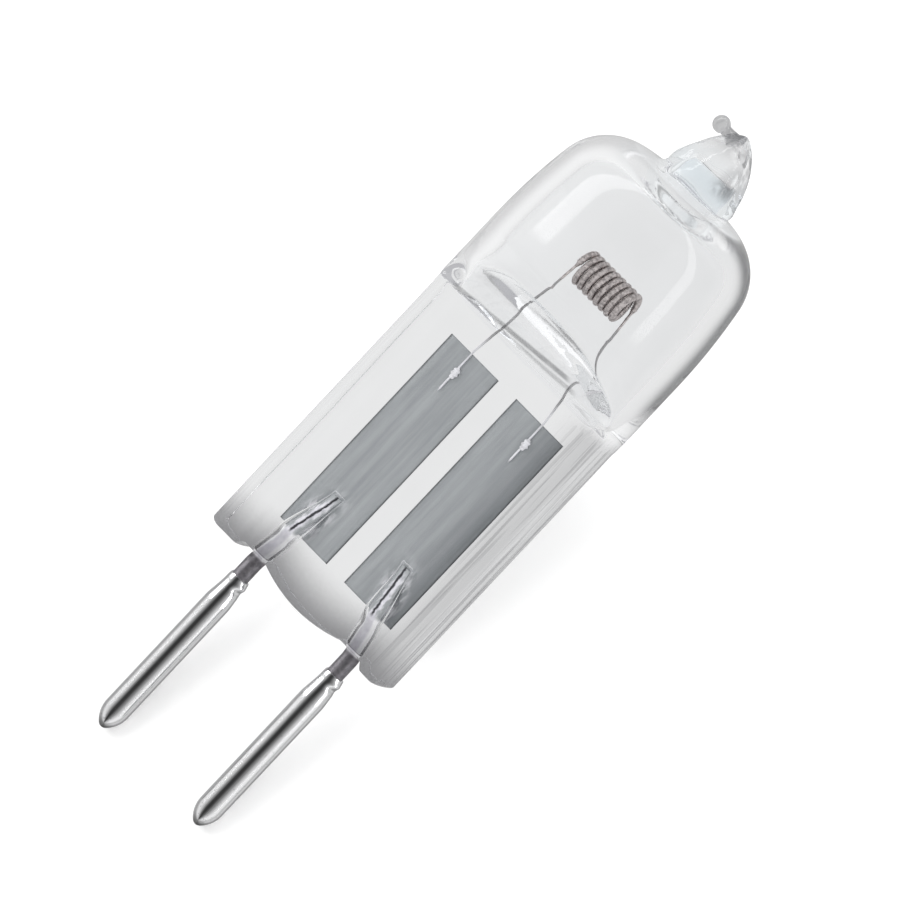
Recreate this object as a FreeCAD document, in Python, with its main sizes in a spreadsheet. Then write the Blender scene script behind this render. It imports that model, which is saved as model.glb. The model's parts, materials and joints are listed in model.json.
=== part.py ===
import FreeCAD, Part
import math
import os
import Sketcher

# Halogen capsule lamp with a two-pin base, in millimetres.
# A quartz tube is domed and sealed off at one end and pressed flat round two foils at the other.
# Every piece is drawn in the lamp's own frame: X across the pins, Y through the flat of the pinch,
# Z along the lamp towards the sealed tip, with zero where the leads leave the glass.
# Placements at the end lay the lamp down as it comes to rest, on its bulb and its two pins.

# Driving dimensions, as alias and value. Angles are in degrees.
DRIVING_SIZES = (
    # Bulb
    ("bulb_diameter", 11.26),
    ("glass_wall", 1.1),
    ("side_height", 4.4),
    ("side_taper", 0.34),
    ("dome_radius", 2.83),
    ("crown_angle", 6.0),
    # Sealed tip
    ("tip_diameter", 4.0),
    ("tip_height", 3.25),
    ("tip_lean", 0.36),
    ("tip_top_rounding", 0.3),
    ("tip_bore_diameter", 3.2),
    ("tip_bore_taper", 0.55),
    ("tip_bore_height", 1.3),
    ("nub_diameter", 0.58),
    ("nub_reach", 1.08),
    ("nub_drop", 0.1),
    ("nub_neck_diameter", 0.4),
    # Shoulder between bulb and pinch
    ("shoulder_angle", 62.0),
    ("shoulder_crest_radius", 2.2),
    ("shoulder_foot_radius", 0.5),
    ("floor_rise", 0.5),
    ("floor_corner_radius", 0.9),
    # Pinch
    ("pinch_width", 11.28),
    ("pinch_thickness", 2.5),
    ("pinch_corner_radius", 0.45),
    ("pinch_overlap", 0.65),
    ("panel_depth", 0.2),
    ("rib_width", 0.77),
    ("rib_slope", 0.25),
    ("side_lobe_drop", 0.35),
    ("side_lobe_corner_share", 0.36),
    ("side_lobe_slope_share", 0.25),
    ("middle_lobe_drop", 0.46),
    ("lead_notch_width", 1.3),
    # Foils
    ("foil_width", 3.12),
    ("foil_length", 11.38),
    ("foil_thickness", 0.05),
    ("foil_feather", 0.4),
    ("foil_spacing", 4.28),
    ("foil_base", 1.88),
    ("foil_clearance", 0.02),
    ("seal_above_foil", 1.36),
    # Outer leads
    ("lead_diameter", 0.85),
    ("lead_glass_gap", 0.15),
    ("lead_lean", 10.5),
    ("lead_bend_depth", 0.35),
    ("lead_bend_radius", 1.2),
    ("lead_on_foil", 2.5),
    ("lead_end_thickness", 0.12),
    ("lead_in_pin", 4.0),
    # Contact pins
    ("pin_spacing", 6.35),
    ("pin_diameter", 1.28),
    ("pin_length", 9.37),
    ("pin_neck", 1.3),
    ("pin_nose_length", 1.09),
    ("pin_nose_radius", 0.3),
    ("pin_bore_clearance", 0.01),
    ("pin_bore_depth", 7.6),
    ("crimp_mouth_wall", 0.06),
    ("crimp_bead_diameter", 1.2),
    ("crimp_waist_diameter", 1.08),
    ("crimp_mouth_length", 0.22),
    ("crimp_bead_length", 0.34),
    ("crimp_waist_length", 0.2),
    ("crimp_shoulder_length", 0.5),
    ("base_offset", 0.25),
    # Filament
    ("leg_diameter", 0.17),
    ("coil_wire_diameter", 0.29),
    ("coil_diameter", 1.75),
    ("coil_pitch", 0.345),
    ("coil_turns", 8.5),
    ("coil_height", 4.5),
    ("leg_offset", 0.2),
    ("leg_on_foil", 2.3),
    ("leg_clearance", 0.02),
    ("leg_bend_rise", 0.15),
    ("weld_diameter", 0.34),
    ("weld_height", 0.22),
)

# How far a cutting sketch or tool runs past the glass it cuts.
OVERRUN = 1.0
# The shares of the tip's height at which it has a section.
TIP_SECTIONS = (0.0, 0.35, 0.65, 0.9)
# How near an edge must lie to a level to be taken as lying on it.
LEVEL_MATCH = 0.001
# How many sides the filament's wires have, and how many straight runs a turn of the coil has.
WIRE_SIDES = 12
RUNS_PER_TURN = 12
# The lamp's two halves, as name and side. Left and right are seen from the front, with the tip up.
SIDES = (("left", -1), ("right", 1))

doc = FreeCAD.newDocument("halogen_capsule_lamp")
sheet = doc.addObject("Spreadsheet::Sheet", "Sizes")
for row, (alias, number) in enumerate(DRIVING_SIZES, start=1):
    sheet.set(f"A{row}", alias)
    sheet.set(f"B{row}", str(number))
    sheet.setAlias(f"B{row}", alias)
doc.recompute()


# Expressions and their values

def size(alias):
    """The expression that reads one driving dimension."""
    return f"Sizes.{alias}"


def measure(expression):
    """The present value of an expression, as a plain number."""
    result = sheet.evalExpression(str(expression))
    return float(getattr(result, "Value", result))


# Heights and radii that several pieces share, each an expression on the driving dimensions.
BULB_RADIUS = f"{size('bulb_diameter')} / 2"
HALF_THICKNESS = f"{size('pinch_thickness')} / 2"
PINCH_HEIGHT = f"({size('foil_base')} + {size('foil_length')} + {size('seal_above_foil')})"
FOIL_TOP = f"({size('foil_base')} + {size('foil_length')})"
CHAMBER_FLOOR = f"({PINCH_HEIGHT} + {size('floor_rise')})"
COIL_AXIS_HEIGHT = f"({CHAMBER_FLOOR} + {size('coil_height')})"
BEND_SUM = f"({size('shoulder_crest_radius')} + {size('shoulder_foot_radius')})"
SLOPE_RUN = f"({BULB_RADIUS} - {HALF_THICKNESS} - {BEND_SUM} * (1 - cos({size('shoulder_angle')})))"
SHOULDER_TOP = (
    f"({PINCH_HEIGHT} + {BEND_SUM} * sin({size('shoulder_angle')})"
    f" + {SLOPE_RUN} / tan({size('shoulder_angle')}))"
)
SIDE_RADIUS = (
    f"(({size('side_height')} ^ 2 + {size('side_taper')} ^ 2) / (2 * {size('side_taper')}))"
)
SIDE_ANGLE = f"asin({size('side_height')} / {SIDE_RADIUS})"
DOME_CENTRE_X = (
    f"({BULB_RADIUS} - {size('side_taper')} - {size('dome_radius')} * cos({SIDE_ANGLE}))"
)
DOME_CENTRE_Z = (
    f"({SHOULDER_TOP} + {size('side_height')} - {size('dome_radius')} * sin({SIDE_ANGLE}))"
)
CROWN_EDGE_X = f"({DOME_CENTRE_X} + {size('dome_radius')} * sin({size('crown_angle')}))"
CROWN_RADIUS = f"({CROWN_EDGE_X} / sin({size('crown_angle')}))"
CROWN_CENTRE_Z = (
    f"({DOME_CENTRE_Z} + {size('dome_radius')} * cos({size('crown_angle')})"
    f" - {CROWN_RADIUS} * cos({size('crown_angle')}))"
)
DOME_TOP = f"({CROWN_CENTRE_Z} + {CROWN_RADIUS})"
PIN_RADIUS = f"{size('pin_diameter')} / 2"
PIN_END = f"(-{size('pin_neck')} - {size('pin_length')})"
NOSE_START = f"({PIN_END} + {size('pin_nose_length')})"
NOSE_RISE = f"({size('pin_nose_length')} - {size('pin_nose_radius')})"
NOSE_ARC_RADIUS = (
    f"(({NOSE_RISE} ^ 2 / ({PIN_RADIUS} - {size('pin_nose_radius')})"
    f" + {PIN_RADIUS} + {size('pin_nose_radius')}) / 2)"
)


# Sketch helpers

def arc_between(start, end, radius, turn):
    """The short arc from start to end. turn is left if its centre lies left of the way from start to end."""
    middle = (start + end) * 0.5
    chord = end - start
    rise = math.sqrt(max(radius ** 2 - chord.Length ** 2 / 4, 0.0))
    left = FreeCAD.Vector(-chord.y, chord.x, 0).normalize()
    centre = middle + left * (rise if turn == "left" else -rise)
    circle = Part.Circle(centre, FreeCAD.Vector(0, 0, 1), radius)
    first, last = (start, end) if turn == "left" else (end, start)
    return Part.ArcOfCircle(circle, circle.parameter(first), circle.parameter(last))


def hold_point(sketch, geometry, point, x, y):
    """Ties a point of the sketch to expressions for its two coordinates."""
    for kind, axis, expression in (("DistanceX", -2, x), ("DistanceY", -1, y)):
        if expression == "0":
            sketch.addConstraint(Sketcher.Constraint("PointOnObject", geometry, point, axis))
        else:
            value = measure(expression)
            index = sketch.addConstraint(Sketcher.Constraint(kind, -1, 1, geometry, point, value))
            sketch.setExpression(f"Constraints[{index}]", expression)


def draw_loop(sketch, corners):
    """Draws a closed outline. Each corner is x, y and how the edge to the next corner runs: None for
    straight, or the radius and the turn of an arc."""
    points = [FreeCAD.Vector(measure(x), measure(y), 0) for x, y, _ in corners]
    first = sketch.GeometryCount
    ends = []
    for index, (_, _, bend) in enumerate(corners):
        start = points[index]
        end = points[(index + 1) % len(points)]
        if bend is None:
            sketch.addGeometry(Part.LineSegment(start, end), False)
            ends.append((1, 2))
        else:
            radius, turn = bend
            sketch.addGeometry(arc_between(start, end, measure(radius), turn), False)
            ends.append((1, 2) if turn == "left" else (2, 1))
    for index, (x, y, bend) in enumerate(corners):
        geometry = first + index
        before = first + (index - 1) % len(corners)
        start_point = ends[index][0]
        end_before = ends[(index - 1) % len(corners)][1]
        sketch.addConstraint(
            Sketcher.Constraint("Coincident", before, end_before, geometry, start_point)
        )
        hold_point(sketch, geometry, start_point, x, y)
        if bend is not None:
            radius = bend[0]
            row = sketch.addConstraint(Sketcher.Constraint("Radius", geometry, measure(radius)))
            sketch.setExpression(f"Constraints[{row}]", radius)


def new_sketch(body, name, plane, height="0"):
    """A sketch on one of the body's own origin planes, lifted from it by an expression."""
    sketch = body.newObject("Sketcher::SketchObject", name)
    support = next(item for item in body.Origin.OriginFeatures if item.Role == plane)
    sketch.AttachmentSupport = (support, [""])
    sketch.MapMode = "FlatFace"
    if height != "0":
        sketch.setExpression("AttachmentOffset.Base.z", height)
    return sketch


def draw_circle(sketch, x, y, radius):
    """A circle held by expressions for its centre and radius."""
    centre = FreeCAD.Vector(measure(x), measure(y), 0)
    circle = Part.Circle(centre, FreeCAD.Vector(0, 0, 1), measure(radius))
    geometry = sketch.addGeometry(circle, False)
    hold_point(sketch, geometry, 3, x, y)
    row = sketch.addConstraint(Sketcher.Constraint("Radius", geometry, measure(radius)))
    sketch.setExpression(f"Constraints[{row}]", radius)


def revolve(body, name, corners):
    """Turns an outline on the XZ plane about the body's Z axis."""
    sketch = new_sketch(body, f"{name}_sketch", "XZ_Plane")
    draw_loop(sketch, corners)
    feature = body.newObject("PartDesign::Revolution", name)
    feature.Profile = sketch
    feature.ReferenceAxis = (sketch, ["V_Axis"])
    feature.Angle = 360
    return feature


def pad(body, name, plane, corners, length, height):
    """Pads an outline along its plane's normal."""
    sketch = new_sketch(body, f"{name}_sketch", plane, height)
    draw_loop(sketch, corners)
    feature = body.newObject("PartDesign::Pad", name)
    feature.Profile = sketch
    feature.setExpression("Length", length)
    return feature


def pocket_through(body, name, plane, loops):
    """Cuts outlines right through the body, both ways from their plane."""
    sketch = new_sketch(body, f"{name}_sketch", plane)
    for corners in loops:
        draw_loop(sketch, corners)
    feature = body.newObject("PartDesign::Pocket", name)
    feature.Profile = sketch
    feature.Type = "ThroughAll"
    feature.SideType = "Symmetric"
    return feature


# Outlines shared by the glass and its chamber

def dome_corners(inset):
    """The side, dome and crown of the bulb as corners from the shoulder up, moved inwards by inset."""
    side_radius = f"({SIDE_RADIUS} - {inset})"
    dome_radius = f"({size('dome_radius')} - {inset})"
    crown_radius = f"({CROWN_RADIUS} - {inset})"
    crown = size("crown_angle")
    return [
        (f"{BULB_RADIUS} - {inset}", SHOULDER_TOP, (side_radius, "left")),
        (
            f"{BULB_RADIUS} - {SIDE_RADIUS} + {side_radius} * cos({SIDE_ANGLE})",
            f"{SHOULDER_TOP} + {side_radius} * sin({SIDE_ANGLE})",
            (dome_radius, "left"),
        ),
        (
            f"{DOME_CENTRE_X} + {dome_radius} * sin({crown})",
            f"{DOME_CENTRE_Z} + {dome_radius} * cos({crown})",
            (crown_radius, "left"),
        ),
        ("0", f"{CROWN_CENTRE_Z} + {crown_radius}", None),
    ]


def shoulder_loop(side, inset):
    """The region that the press takes off one flat side of the tube, between the foot of the shoulder
    and its crest. inset moves the pressed wall inwards, as it is for the chamber."""
    angle = size("shoulder_angle")
    crest = f"({size('shoulder_crest_radius')} - {inset})"
    foot = f"({size('shoulder_foot_radius')} + {inset})"
    crest_y = f"({BULB_RADIUS} - {size('shoulder_crest_radius')})"
    foot_y = f"({HALF_THICKNESS} + {size('shoulder_foot_radius')})"
    foot_turn, crest_turn = ("right", "left") if side > 0 else ("left", "right")
    outside = f"{side} * ({BULB_RADIUS} + {OVERRUN})"
    below = f"{PINCH_HEIGHT}"
    corners = [
        (f"{side} * ({foot_y} - {foot})", below, (foot, foot_turn)),
        (
            f"{side} * ({foot_y} - {foot} * cos({angle}))",
            f"{PINCH_HEIGHT} + {foot} * sin({angle})",
            None,
        ),
        (
            f"{side} * ({crest_y} + {crest} * cos({angle}))",
            f"{SHOULDER_TOP} - {crest} * sin({angle})",
            (crest, crest_turn),
        ),
        (f"{side} * ({crest_y} + {crest})", SHOULDER_TOP, None),
        (outside, SHOULDER_TOP, None),
        (outside, below, None),
    ]
    return corners


# Quartz envelope

def four_quarters(quarter):
    """A closed section from the corners of its first quarter, mirrored left to right and front to back."""
    corners = []
    for x_sign, y_sign in (("", ""), ("-", ""), ("-", "-"), ("", "-")):
        order = list(quarter)
        if x_sign != y_sign:
            # A mirrored quarter is walked backwards, so each edge's bend is the one of the corner ahead.
            order.reverse()
            bends = [bend for _, _, bend in order[1:]] + [None]
        else:
            bends = [bend for _, _, bend in order]
        for (x, y, _), bend in zip(order, bends):
            corners.append((f"{x_sign}({x})", f"{y_sign}({y})", bend))
    return corners


def make_glass_body():
    """The outside of the quartz: pinch, bulb, shoulders and sealed tip, as one solid."""
    body = doc.addObject("PartDesign::Body", "glass_outside")
    half_width = f"{size('pinch_width')} / 2"
    corner = size("pinch_corner_radius")
    panel = f"({HALF_THICKNESS} - {size('panel_depth')})"
    rib_inner = f"({half_width} - {size('rib_width')})"
    panel_edge = f"({rib_inner} - {size('rib_slope')})"
    bottom = f"(-{size('side_lobe_drop')} - {size('middle_lobe_drop')})"
    quarter = [
        (half_width, f"{HALF_THICKNESS} - {corner}", (corner, "left")),
        (f"{half_width} - {corner}", HALF_THICKNESS, None),
        (rib_inner, HALF_THICKNESS, None),
        (panel_edge, panel, None),
    ]
    height = f"{PINCH_HEIGHT} + {size('pinch_overlap')} - {bottom}"
    pad(body, "pinch", "XY_Plane", four_quarters(quarter), height, bottom)
    pocket_through(body, "base_outline", "XZ_Plane", [base_outline()])

    bulb = [("0", PINCH_HEIGHT, None), (BULB_RADIUS, PINCH_HEIGHT, None)] + dome_corners("0")
    revolve(body, "bulb", bulb)
    pocket_through(body, "shoulders", "YZ_Plane", [shoulder_loop(1, "0"), shoulder_loop(-1, "0")])
    add_tip(body)
    return body


def add_tip(body):
    """The sealed tip, an ogive of circles that leans over as it narrows, with a rounded top."""
    radius = f"({size('tip_diameter')} / 2)"
    height = size("tip_height")
    ogive = f"(({radius} ^ 2 + {height} ^ 2) / (2 * {radius}))"
    sketches = []
    for number, share in enumerate(TIP_SECTIONS):
        rise = f"({share} * {height})"
        level = f"{DOME_TOP} + {rise}" if share > 0 else f"{DOME_TOP} - {size('glass_wall')} / 2"
        sketch = new_sketch(body, f"tip_section_{number}", "XY_Plane", level)
        section_radius = f"{radius} - {ogive} + sqrt({ogive} ^ 2 - {rise} ^ 2)"
        lean = f"-{size('tip_lean')} * {share ** 2}" if share > 0 else "0"
        draw_circle(sketch, lean, "0", section_radius)
        sketches.append(sketch)
    loft = body.newObject("PartDesign::AdditiveLoft", "tip")
    loft.Profile = sketches[0]
    loft.Sections = [(sketch, [""]) for sketch in sketches[1:]]
    doc.recompute()
    top_level = measure(f"{DOME_TOP} + {TIP_SECTIONS[-1]} * {height}")
    top_edges = []
    for index, edge in enumerate(loft.Shape.Edges, start=1):
        low_gap = abs(edge.BoundBox.ZMin - top_level)
        high_gap = abs(edge.BoundBox.ZMax - top_level)
        if max(low_gap, high_gap) < LEVEL_MATCH:
            top_edges.append(f"Edge{index}")
    rounding = body.newObject("PartDesign::Fillet", "tip_rounding")
    rounding.Base = (loft, top_edges)
    rounding.setExpression("Radius", size("tip_top_rounding"))


def base_outline():
    """The region below the lobed bottom edge of the pinch, seen from the front."""
    half_width = f"{size('pinch_width')} / 2"
    outside = f"({half_width} + {OVERRUN})"
    below = f"(-{size('side_lobe_drop')} - {size('middle_lobe_drop')} - {OVERRUN})"
    lobe_bottom = f"(-{size('side_lobe_drop')})"
    half_notch = f"{size('lead_notch_width')} / 2"
    half_spacing = f"{size('pin_spacing')} / 2"
    offset = size("base_offset")
    middle_half = f"({half_spacing} - {half_notch})"
    drop = size("middle_lobe_drop")
    middle_radius = f"(({middle_half} ^ 2 + {drop} ^ 2) / (2 * {drop}))"
    side_inner = f"({half_spacing} + {half_notch})"
    lobe_width = f"({half_width} - {offset} - {side_inner})"
    corner = f"({size('side_lobe_corner_share')} * {lobe_width})"
    slope = f"({size('side_lobe_slope_share')} * {lobe_width})"
    return [
        (f"-{outside}", below, None),
        (outside, below, None),
        (outside, f"{lobe_bottom} + {corner}", None),
        (half_width, f"{lobe_bottom} + {corner}", (corner, "right")),
        (f"{half_width} - {corner}", lobe_bottom, None),
        (f"{offset} + {side_inner} + {slope}", lobe_bottom, None),
        (f"{offset} + {side_inner}", "0", None),
        (f"{offset} + {middle_half}", "0", (middle_radius, "right")),
        (f"{offset} - {middle_half}", "0", None),
        (f"{offset} - {side_inner}", "0", None),
        (f"{offset} - {side_inner} - {slope}", lobe_bottom, None),
        (f"-({half_width} - {corner})", lobe_bottom, (corner, "right")),
        (f"-({half_width})", f"{lobe_bottom} + {corner}", None),
        (f"-{outside}", f"{lobe_bottom} + {corner}", None),
    ]


def tilted(start, end):
    """The placement that lays a piece drawn along Z from the origin along the way from start to end."""
    turn = FreeCAD.Rotation(FreeCAD.Vector(0, 0, 1), end - start)
    return FreeCAD.Placement(start, turn)


def rod(name, start, end, radius):
    """A cylinder from start to end. Its radius is an expression."""
    item = doc.addObject("Part::Cylinder", name)
    item.setExpression("Radius", radius)
    item.Height = (end - start).Length
    item.Placement = tilted(start, end)
    return item


def ball(name, centre, radius):
    """A sphere. Its radius is an expression."""
    item = doc.addObject("Part::Sphere", name)
    item.setExpression("Radius", radius)
    item.Placement = FreeCAD.Placement(centre, FreeCAD.Rotation())
    return item


def point(x, y, z):
    """A point of the lamp's frame from three expressions."""
    return FreeCAD.Vector(measure(x), measure(y), measure(z))


def fuse(name, pieces):
    """Joins pieces to one object."""
    item = doc.addObject("Part::MultiFuse", name)
    item.Shapes = pieces
    return item


# Places of the wires, for side -1 (left) and 1 (right)

def pin_x(side):
    """Where a pin's axis crosses the lamp's X axis."""
    return f"({size('base_offset')} + {side} * {size('pin_spacing')} / 2)"


def foil_x(side):
    """The middle of a foil."""
    return f"({size('base_offset')} + {side} * {size('foil_spacing')} / 2)"


def lead_line(side, height):
    """A point of the lead's leaning axis at a height."""
    run = f"({height} + {size('lead_bend_depth')})"
    return f"({pin_x(side)} - {side} * {run} * tan({size('lead_lean')}))"


LEAD_END = f"({size('foil_base')} + {size('lead_on_foil')})"
FOIL_FACE = f"(-{size('foil_thickness')} / 2)"
COIL_RADIUS = f"(({size('coil_diameter')} - {size('coil_wire_diameter')}) / 2)"
COIL_LENGTH = f"({size('coil_pitch')} * {size('coil_turns')})"
# A wire's sides touch a circle of its diameter, and its corners stand out from that circle.
LEG_CORNER = f"({size('leg_diameter')} / 2 / cos(180 / {WIRE_SIDES}))"
COIL_CORNER = f"({size('coil_wire_diameter')} / 2 / cos(180 / {WIRE_SIDES}))"
LEG_Y = f"({FOIL_FACE} - {LEG_CORNER})"
LEG_BEND_Z = f"({FOIL_TOP} + {size('leg_bend_rise')})"
LEG_END_Z = f"({FOIL_TOP} - {size('leg_on_foil')})"
WELD_Z = f"(({FOIL_TOP} + {LEG_END_Z}) / 2)"


def leg_x(side):
    """Where a filament leg runs down its foil."""
    return f"({foil_x(side)} + {side} * {size('leg_offset')})"


def leg_points(side):
    """The ends of a leg's two straight runs: at the coil, above the foil, and on the foil."""
    coil_end = f"{size('base_offset')} + {side} * {COIL_LENGTH} / 2"
    return [
        point(coil_end, f"{side} * {COIL_RADIUS}", COIL_AXIS_HEIGHT),
        point(leg_x(side), LEG_Y, LEG_BEND_Z),
        point(leg_x(side), LEG_Y, LEG_END_Z),
    ]


# Hollows of the quartz

def make_chamber():
    """The gas chamber and the closed bore of the tip above it."""
    body = doc.addObject("PartDesign::Body", "gas_chamber")
    wall = size("glass_wall")
    inner_radius = f"({BULB_RADIUS} - {wall})"
    corner = size("floor_corner_radius")
    bore = f"({size('tip_bore_diameter')} / 2)"
    bore_top = f"{DOME_TOP} + {size('tip_bore_height')}"
    dome = dome_corners(wall)[:-1]
    outline = [
        ("0", CHAMBER_FLOOR, None),
        (f"{inner_radius} - {corner}", CHAMBER_FLOOR, (corner, "left")),
        (inner_radius, f"{CHAMBER_FLOOR} + {corner}", None),
    ]
    outline += dome
    outline += [
        (bore, f"{CROWN_CENTRE_Z} + sqrt(({CROWN_RADIUS} - {wall}) ^ 2 - {bore} ^ 2)", None),
        (f"{bore} - {size('tip_bore_taper')}", bore_top, None),
        ("0", bore_top, None),
    ]
    revolve(body, "chamber", outline)
    pocket_through(body, "pressed_sides", "YZ_Plane", [shoulder_loop(1, wall), shoulder_loop(-1, wall)])
    return body


def make_foil_slot(name, side):
    """The thin hollow that a foil fills."""
    slot = doc.addObject("Part::Box", name)
    clearance = size("foil_clearance")
    slot.setExpression("Length", f"{size('foil_width')} + 2 * {clearance}")
    slot.setExpression("Width", f"{size('foil_thickness')} + 2 * {clearance}")
    slot.setExpression("Height", f"{size('foil_length')} + 2 * {clearance}")
    slot.setExpression("Placement.Base.x", f"{foil_x(side)} - {size('foil_width')} / 2 - {clearance}")
    slot.setExpression("Placement.Base.y", f"{FOIL_FACE} - {clearance}")
    slot.setExpression("Placement.Base.z", f"{size('foil_base')} - {clearance}")
    return slot


def make_lead_hole(name, side):
    """The loose hollow round a lead, from below the glass to past the lead's end."""
    low = f"(-{size('side_lobe_drop')} - {size('middle_lobe_drop')})"
    high = f"({LEAD_END} + {size('lead_glass_gap')})"
    start = point(lead_line(side, low), "0", low)
    end = point(lead_line(side, high), "0", high)
    return rod(name, start, end, f"{size('lead_diameter')} / 2 + {size('lead_glass_gap')}")


def make_leg_holes(name, side):
    """The hollows round a filament leg: slanting down from the chamber, then flat along the foil."""
    at_coil, at_bend, _ = leg_points(side)
    clearance = size("leg_clearance")
    down = (at_coil - at_bend).normalize()
    reach = (measure(CHAMBER_FLOOR) - measure(LEG_BEND_Z) + measure(size("floor_rise"))) / down.z
    slant = rod(f"{name}_slant", at_bend, at_bend + down * reach, f"{LEG_CORNER} + {clearance}")
    flat = doc.addObject("Part::Box", f"{name}_flat")
    half_width = f"({size('weld_diameter')} / 2 + {clearance})"
    flat.setExpression("Length", f"2 * {half_width}")
    flat.setExpression("Width", f"{size('weld_height')} + 2 * {clearance}")
    flat.setExpression("Height", f"{LEG_BEND_Z} - {LEG_END_Z} + {LEG_CORNER} + {clearance}")
    flat.setExpression("Placement.Base.x", f"{leg_x(side)} - {half_width}")
    flat.setExpression("Placement.Base.y", f"{FOIL_FACE} - {size('weld_height')} - {clearance}")
    flat.setExpression("Placement.Base.z", f"{LEG_END_Z} - {clearance}")
    return [slant, flat]


def make_envelope():
    """The quartz with its nub, less every hollow."""
    glass = make_glass_body()
    nub_radius = f"({size('nub_diameter')} / 2)"
    nub_level = f"({DOME_TOP} + {size('tip_height')} - {size('nub_drop')})"
    nub_centre = point(f"-{size('nub_reach')}", "0", nub_level)
    neck_root = point("0", "0", f"{DOME_TOP} + {TIP_SECTIONS[1]} * {size('tip_height')}")
    nub = ball("tip_nub", nub_centre, nub_radius)
    neck = rod("tip_neck", neck_root, nub_centre, f"{size('nub_neck_diameter')} / 2")
    outside = fuse("glass_with_nub", [glass, nub, neck])
    hollows = [make_chamber()]
    for name, side in SIDES:
        hollows.append(make_foil_slot(f"{name}_foil_slot", side))
        hollows.append(make_lead_hole(f"{name}_lead_hole", side))
        hollows += make_leg_holes(f"{name}_leg_hole", side)
    envelope = doc.addObject("Part::Cut", "quartz_envelope")
    envelope.Base = outside
    envelope.Tool = fuse("glass_hollows", hollows)
    return envelope


# Metal pieces

def make_foil(name, side):
    """A molybdenum foil, thinned to a feather edge down both sides."""
    body = doc.addObject("PartDesign::Body", name)
    half_width = f"{size('foil_width')} / 2"
    half_thick = f"{size('foil_thickness')} / 2"
    flat = f"({half_width} - {size('foil_feather')})"
    middle = foil_x(side)
    section = [
        (f"{middle} - {half_width}", "0", None),
        (f"{middle} - {flat}", f"-({half_thick})", None),
        (f"{middle} + {flat}", f"-({half_thick})", None),
        (f"{middle} + {half_width}", "0", None),
        (f"{middle} + {flat}", half_thick, None),
        (f"{middle} - {flat}", half_thick, None),
    ]
    pad(body, "strip", "XY_Plane", section, size("foil_length"), size("foil_base"))
    return body


def make_lead(name, side):
    """An outer lead: a round wire bent inwards as it enters the glass, with its end ground to a chisel
    that lies flat on the foil."""
    body = doc.addObject("PartDesign::Body", name)
    lean = size("lead_lean")
    bend = size("lead_bend_radius")
    tangent = f"({bend} * tan({lean} / 2))"
    foot = f"(-{size('pin_neck')} - {size('lead_in_pin')})"
    bend_z = f"(-{size('lead_bend_depth')})"
    past_end = f"({LEAD_END} + {size('lead_diameter')})"
    axis = pin_x(side)
    ring = new_sketch(body, "wire_section", "XY_Plane", foot)
    draw_circle(ring, axis, "0", f"{size('lead_diameter')} / 2")
    path = new_sketch(body, "wire_path", "XZ_Plane")
    corners = [
        (axis, foot),
        (axis, f"{bend_z} - {tangent}"),
        (f"{axis} - {side} * {tangent} * sin({lean})", f"{bend_z} + {tangent} * cos({lean})"),
        (lead_line(side, past_end), past_end),
    ]
    draw_path(path, corners, bend, "left" if side > 0 else "right")
    pipe = body.newObject("PartDesign::AdditivePipe", "wire")
    pipe.Profile = ring
    pipe.Spine = path
    face = f"({FOIL_FACE})"
    step = f"({size('foil_base')} - {size('foil_clearance')})"
    clear = f"({size('lead_diameter')} / 2 + {OVERRUN})"
    above = f"({past_end} + {OVERRUN})"
    flat = [
        (face, step, None),
        (clear, step, None),
        (clear, above, None),
        (face, above, None),
    ]
    end_face = f"({face} - {size('lead_end_thickness')})"
    bevel = [
        (f"-{clear}", step, None),
        (f"-{size('lead_diameter')} / 2", step, None),
        (end_face, LEAD_END, None),
        (face, LEAD_END, None),
        (face, above, None),
        (f"-{clear}", above, None),
    ]
    pocket_through(body, "foil_seat", "YZ_Plane", [flat])
    pocket_through(body, "chisel", "YZ_Plane", [bevel])
    return body


def draw_path(sketch, corners, radius, turn):
    """An open path of a straight run, an arc and a straight run through four corners."""
    points = [FreeCAD.Vector(measure(x), measure(y), 0) for x, y in corners]
    sketch.addGeometry(Part.LineSegment(points[0], points[1]), False)
    sketch.addGeometry(arc_between(points[1], points[2], measure(radius), turn), False)
    sketch.addGeometry(Part.LineSegment(points[2], points[3]), False)
    arc_start, arc_end = (1, 2) if turn == "left" else (2, 1)
    sketch.addConstraint(Sketcher.Constraint("Coincident", 0, 2, 1, arc_start))
    sketch.addConstraint(Sketcher.Constraint("Coincident", 1, arc_end, 2, 1))
    hold_point(sketch, 0, 1, *corners[0])
    hold_point(sketch, 0, 2, *corners[1])
    hold_point(sketch, 2, 1, *corners[2])
    hold_point(sketch, 2, 2, *corners[3])
    row = sketch.addConstraint(Sketcher.Constraint("Radius", 1, measure(radius)))
    sketch.setExpression(f"Constraints[{row}]", radius)


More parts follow.
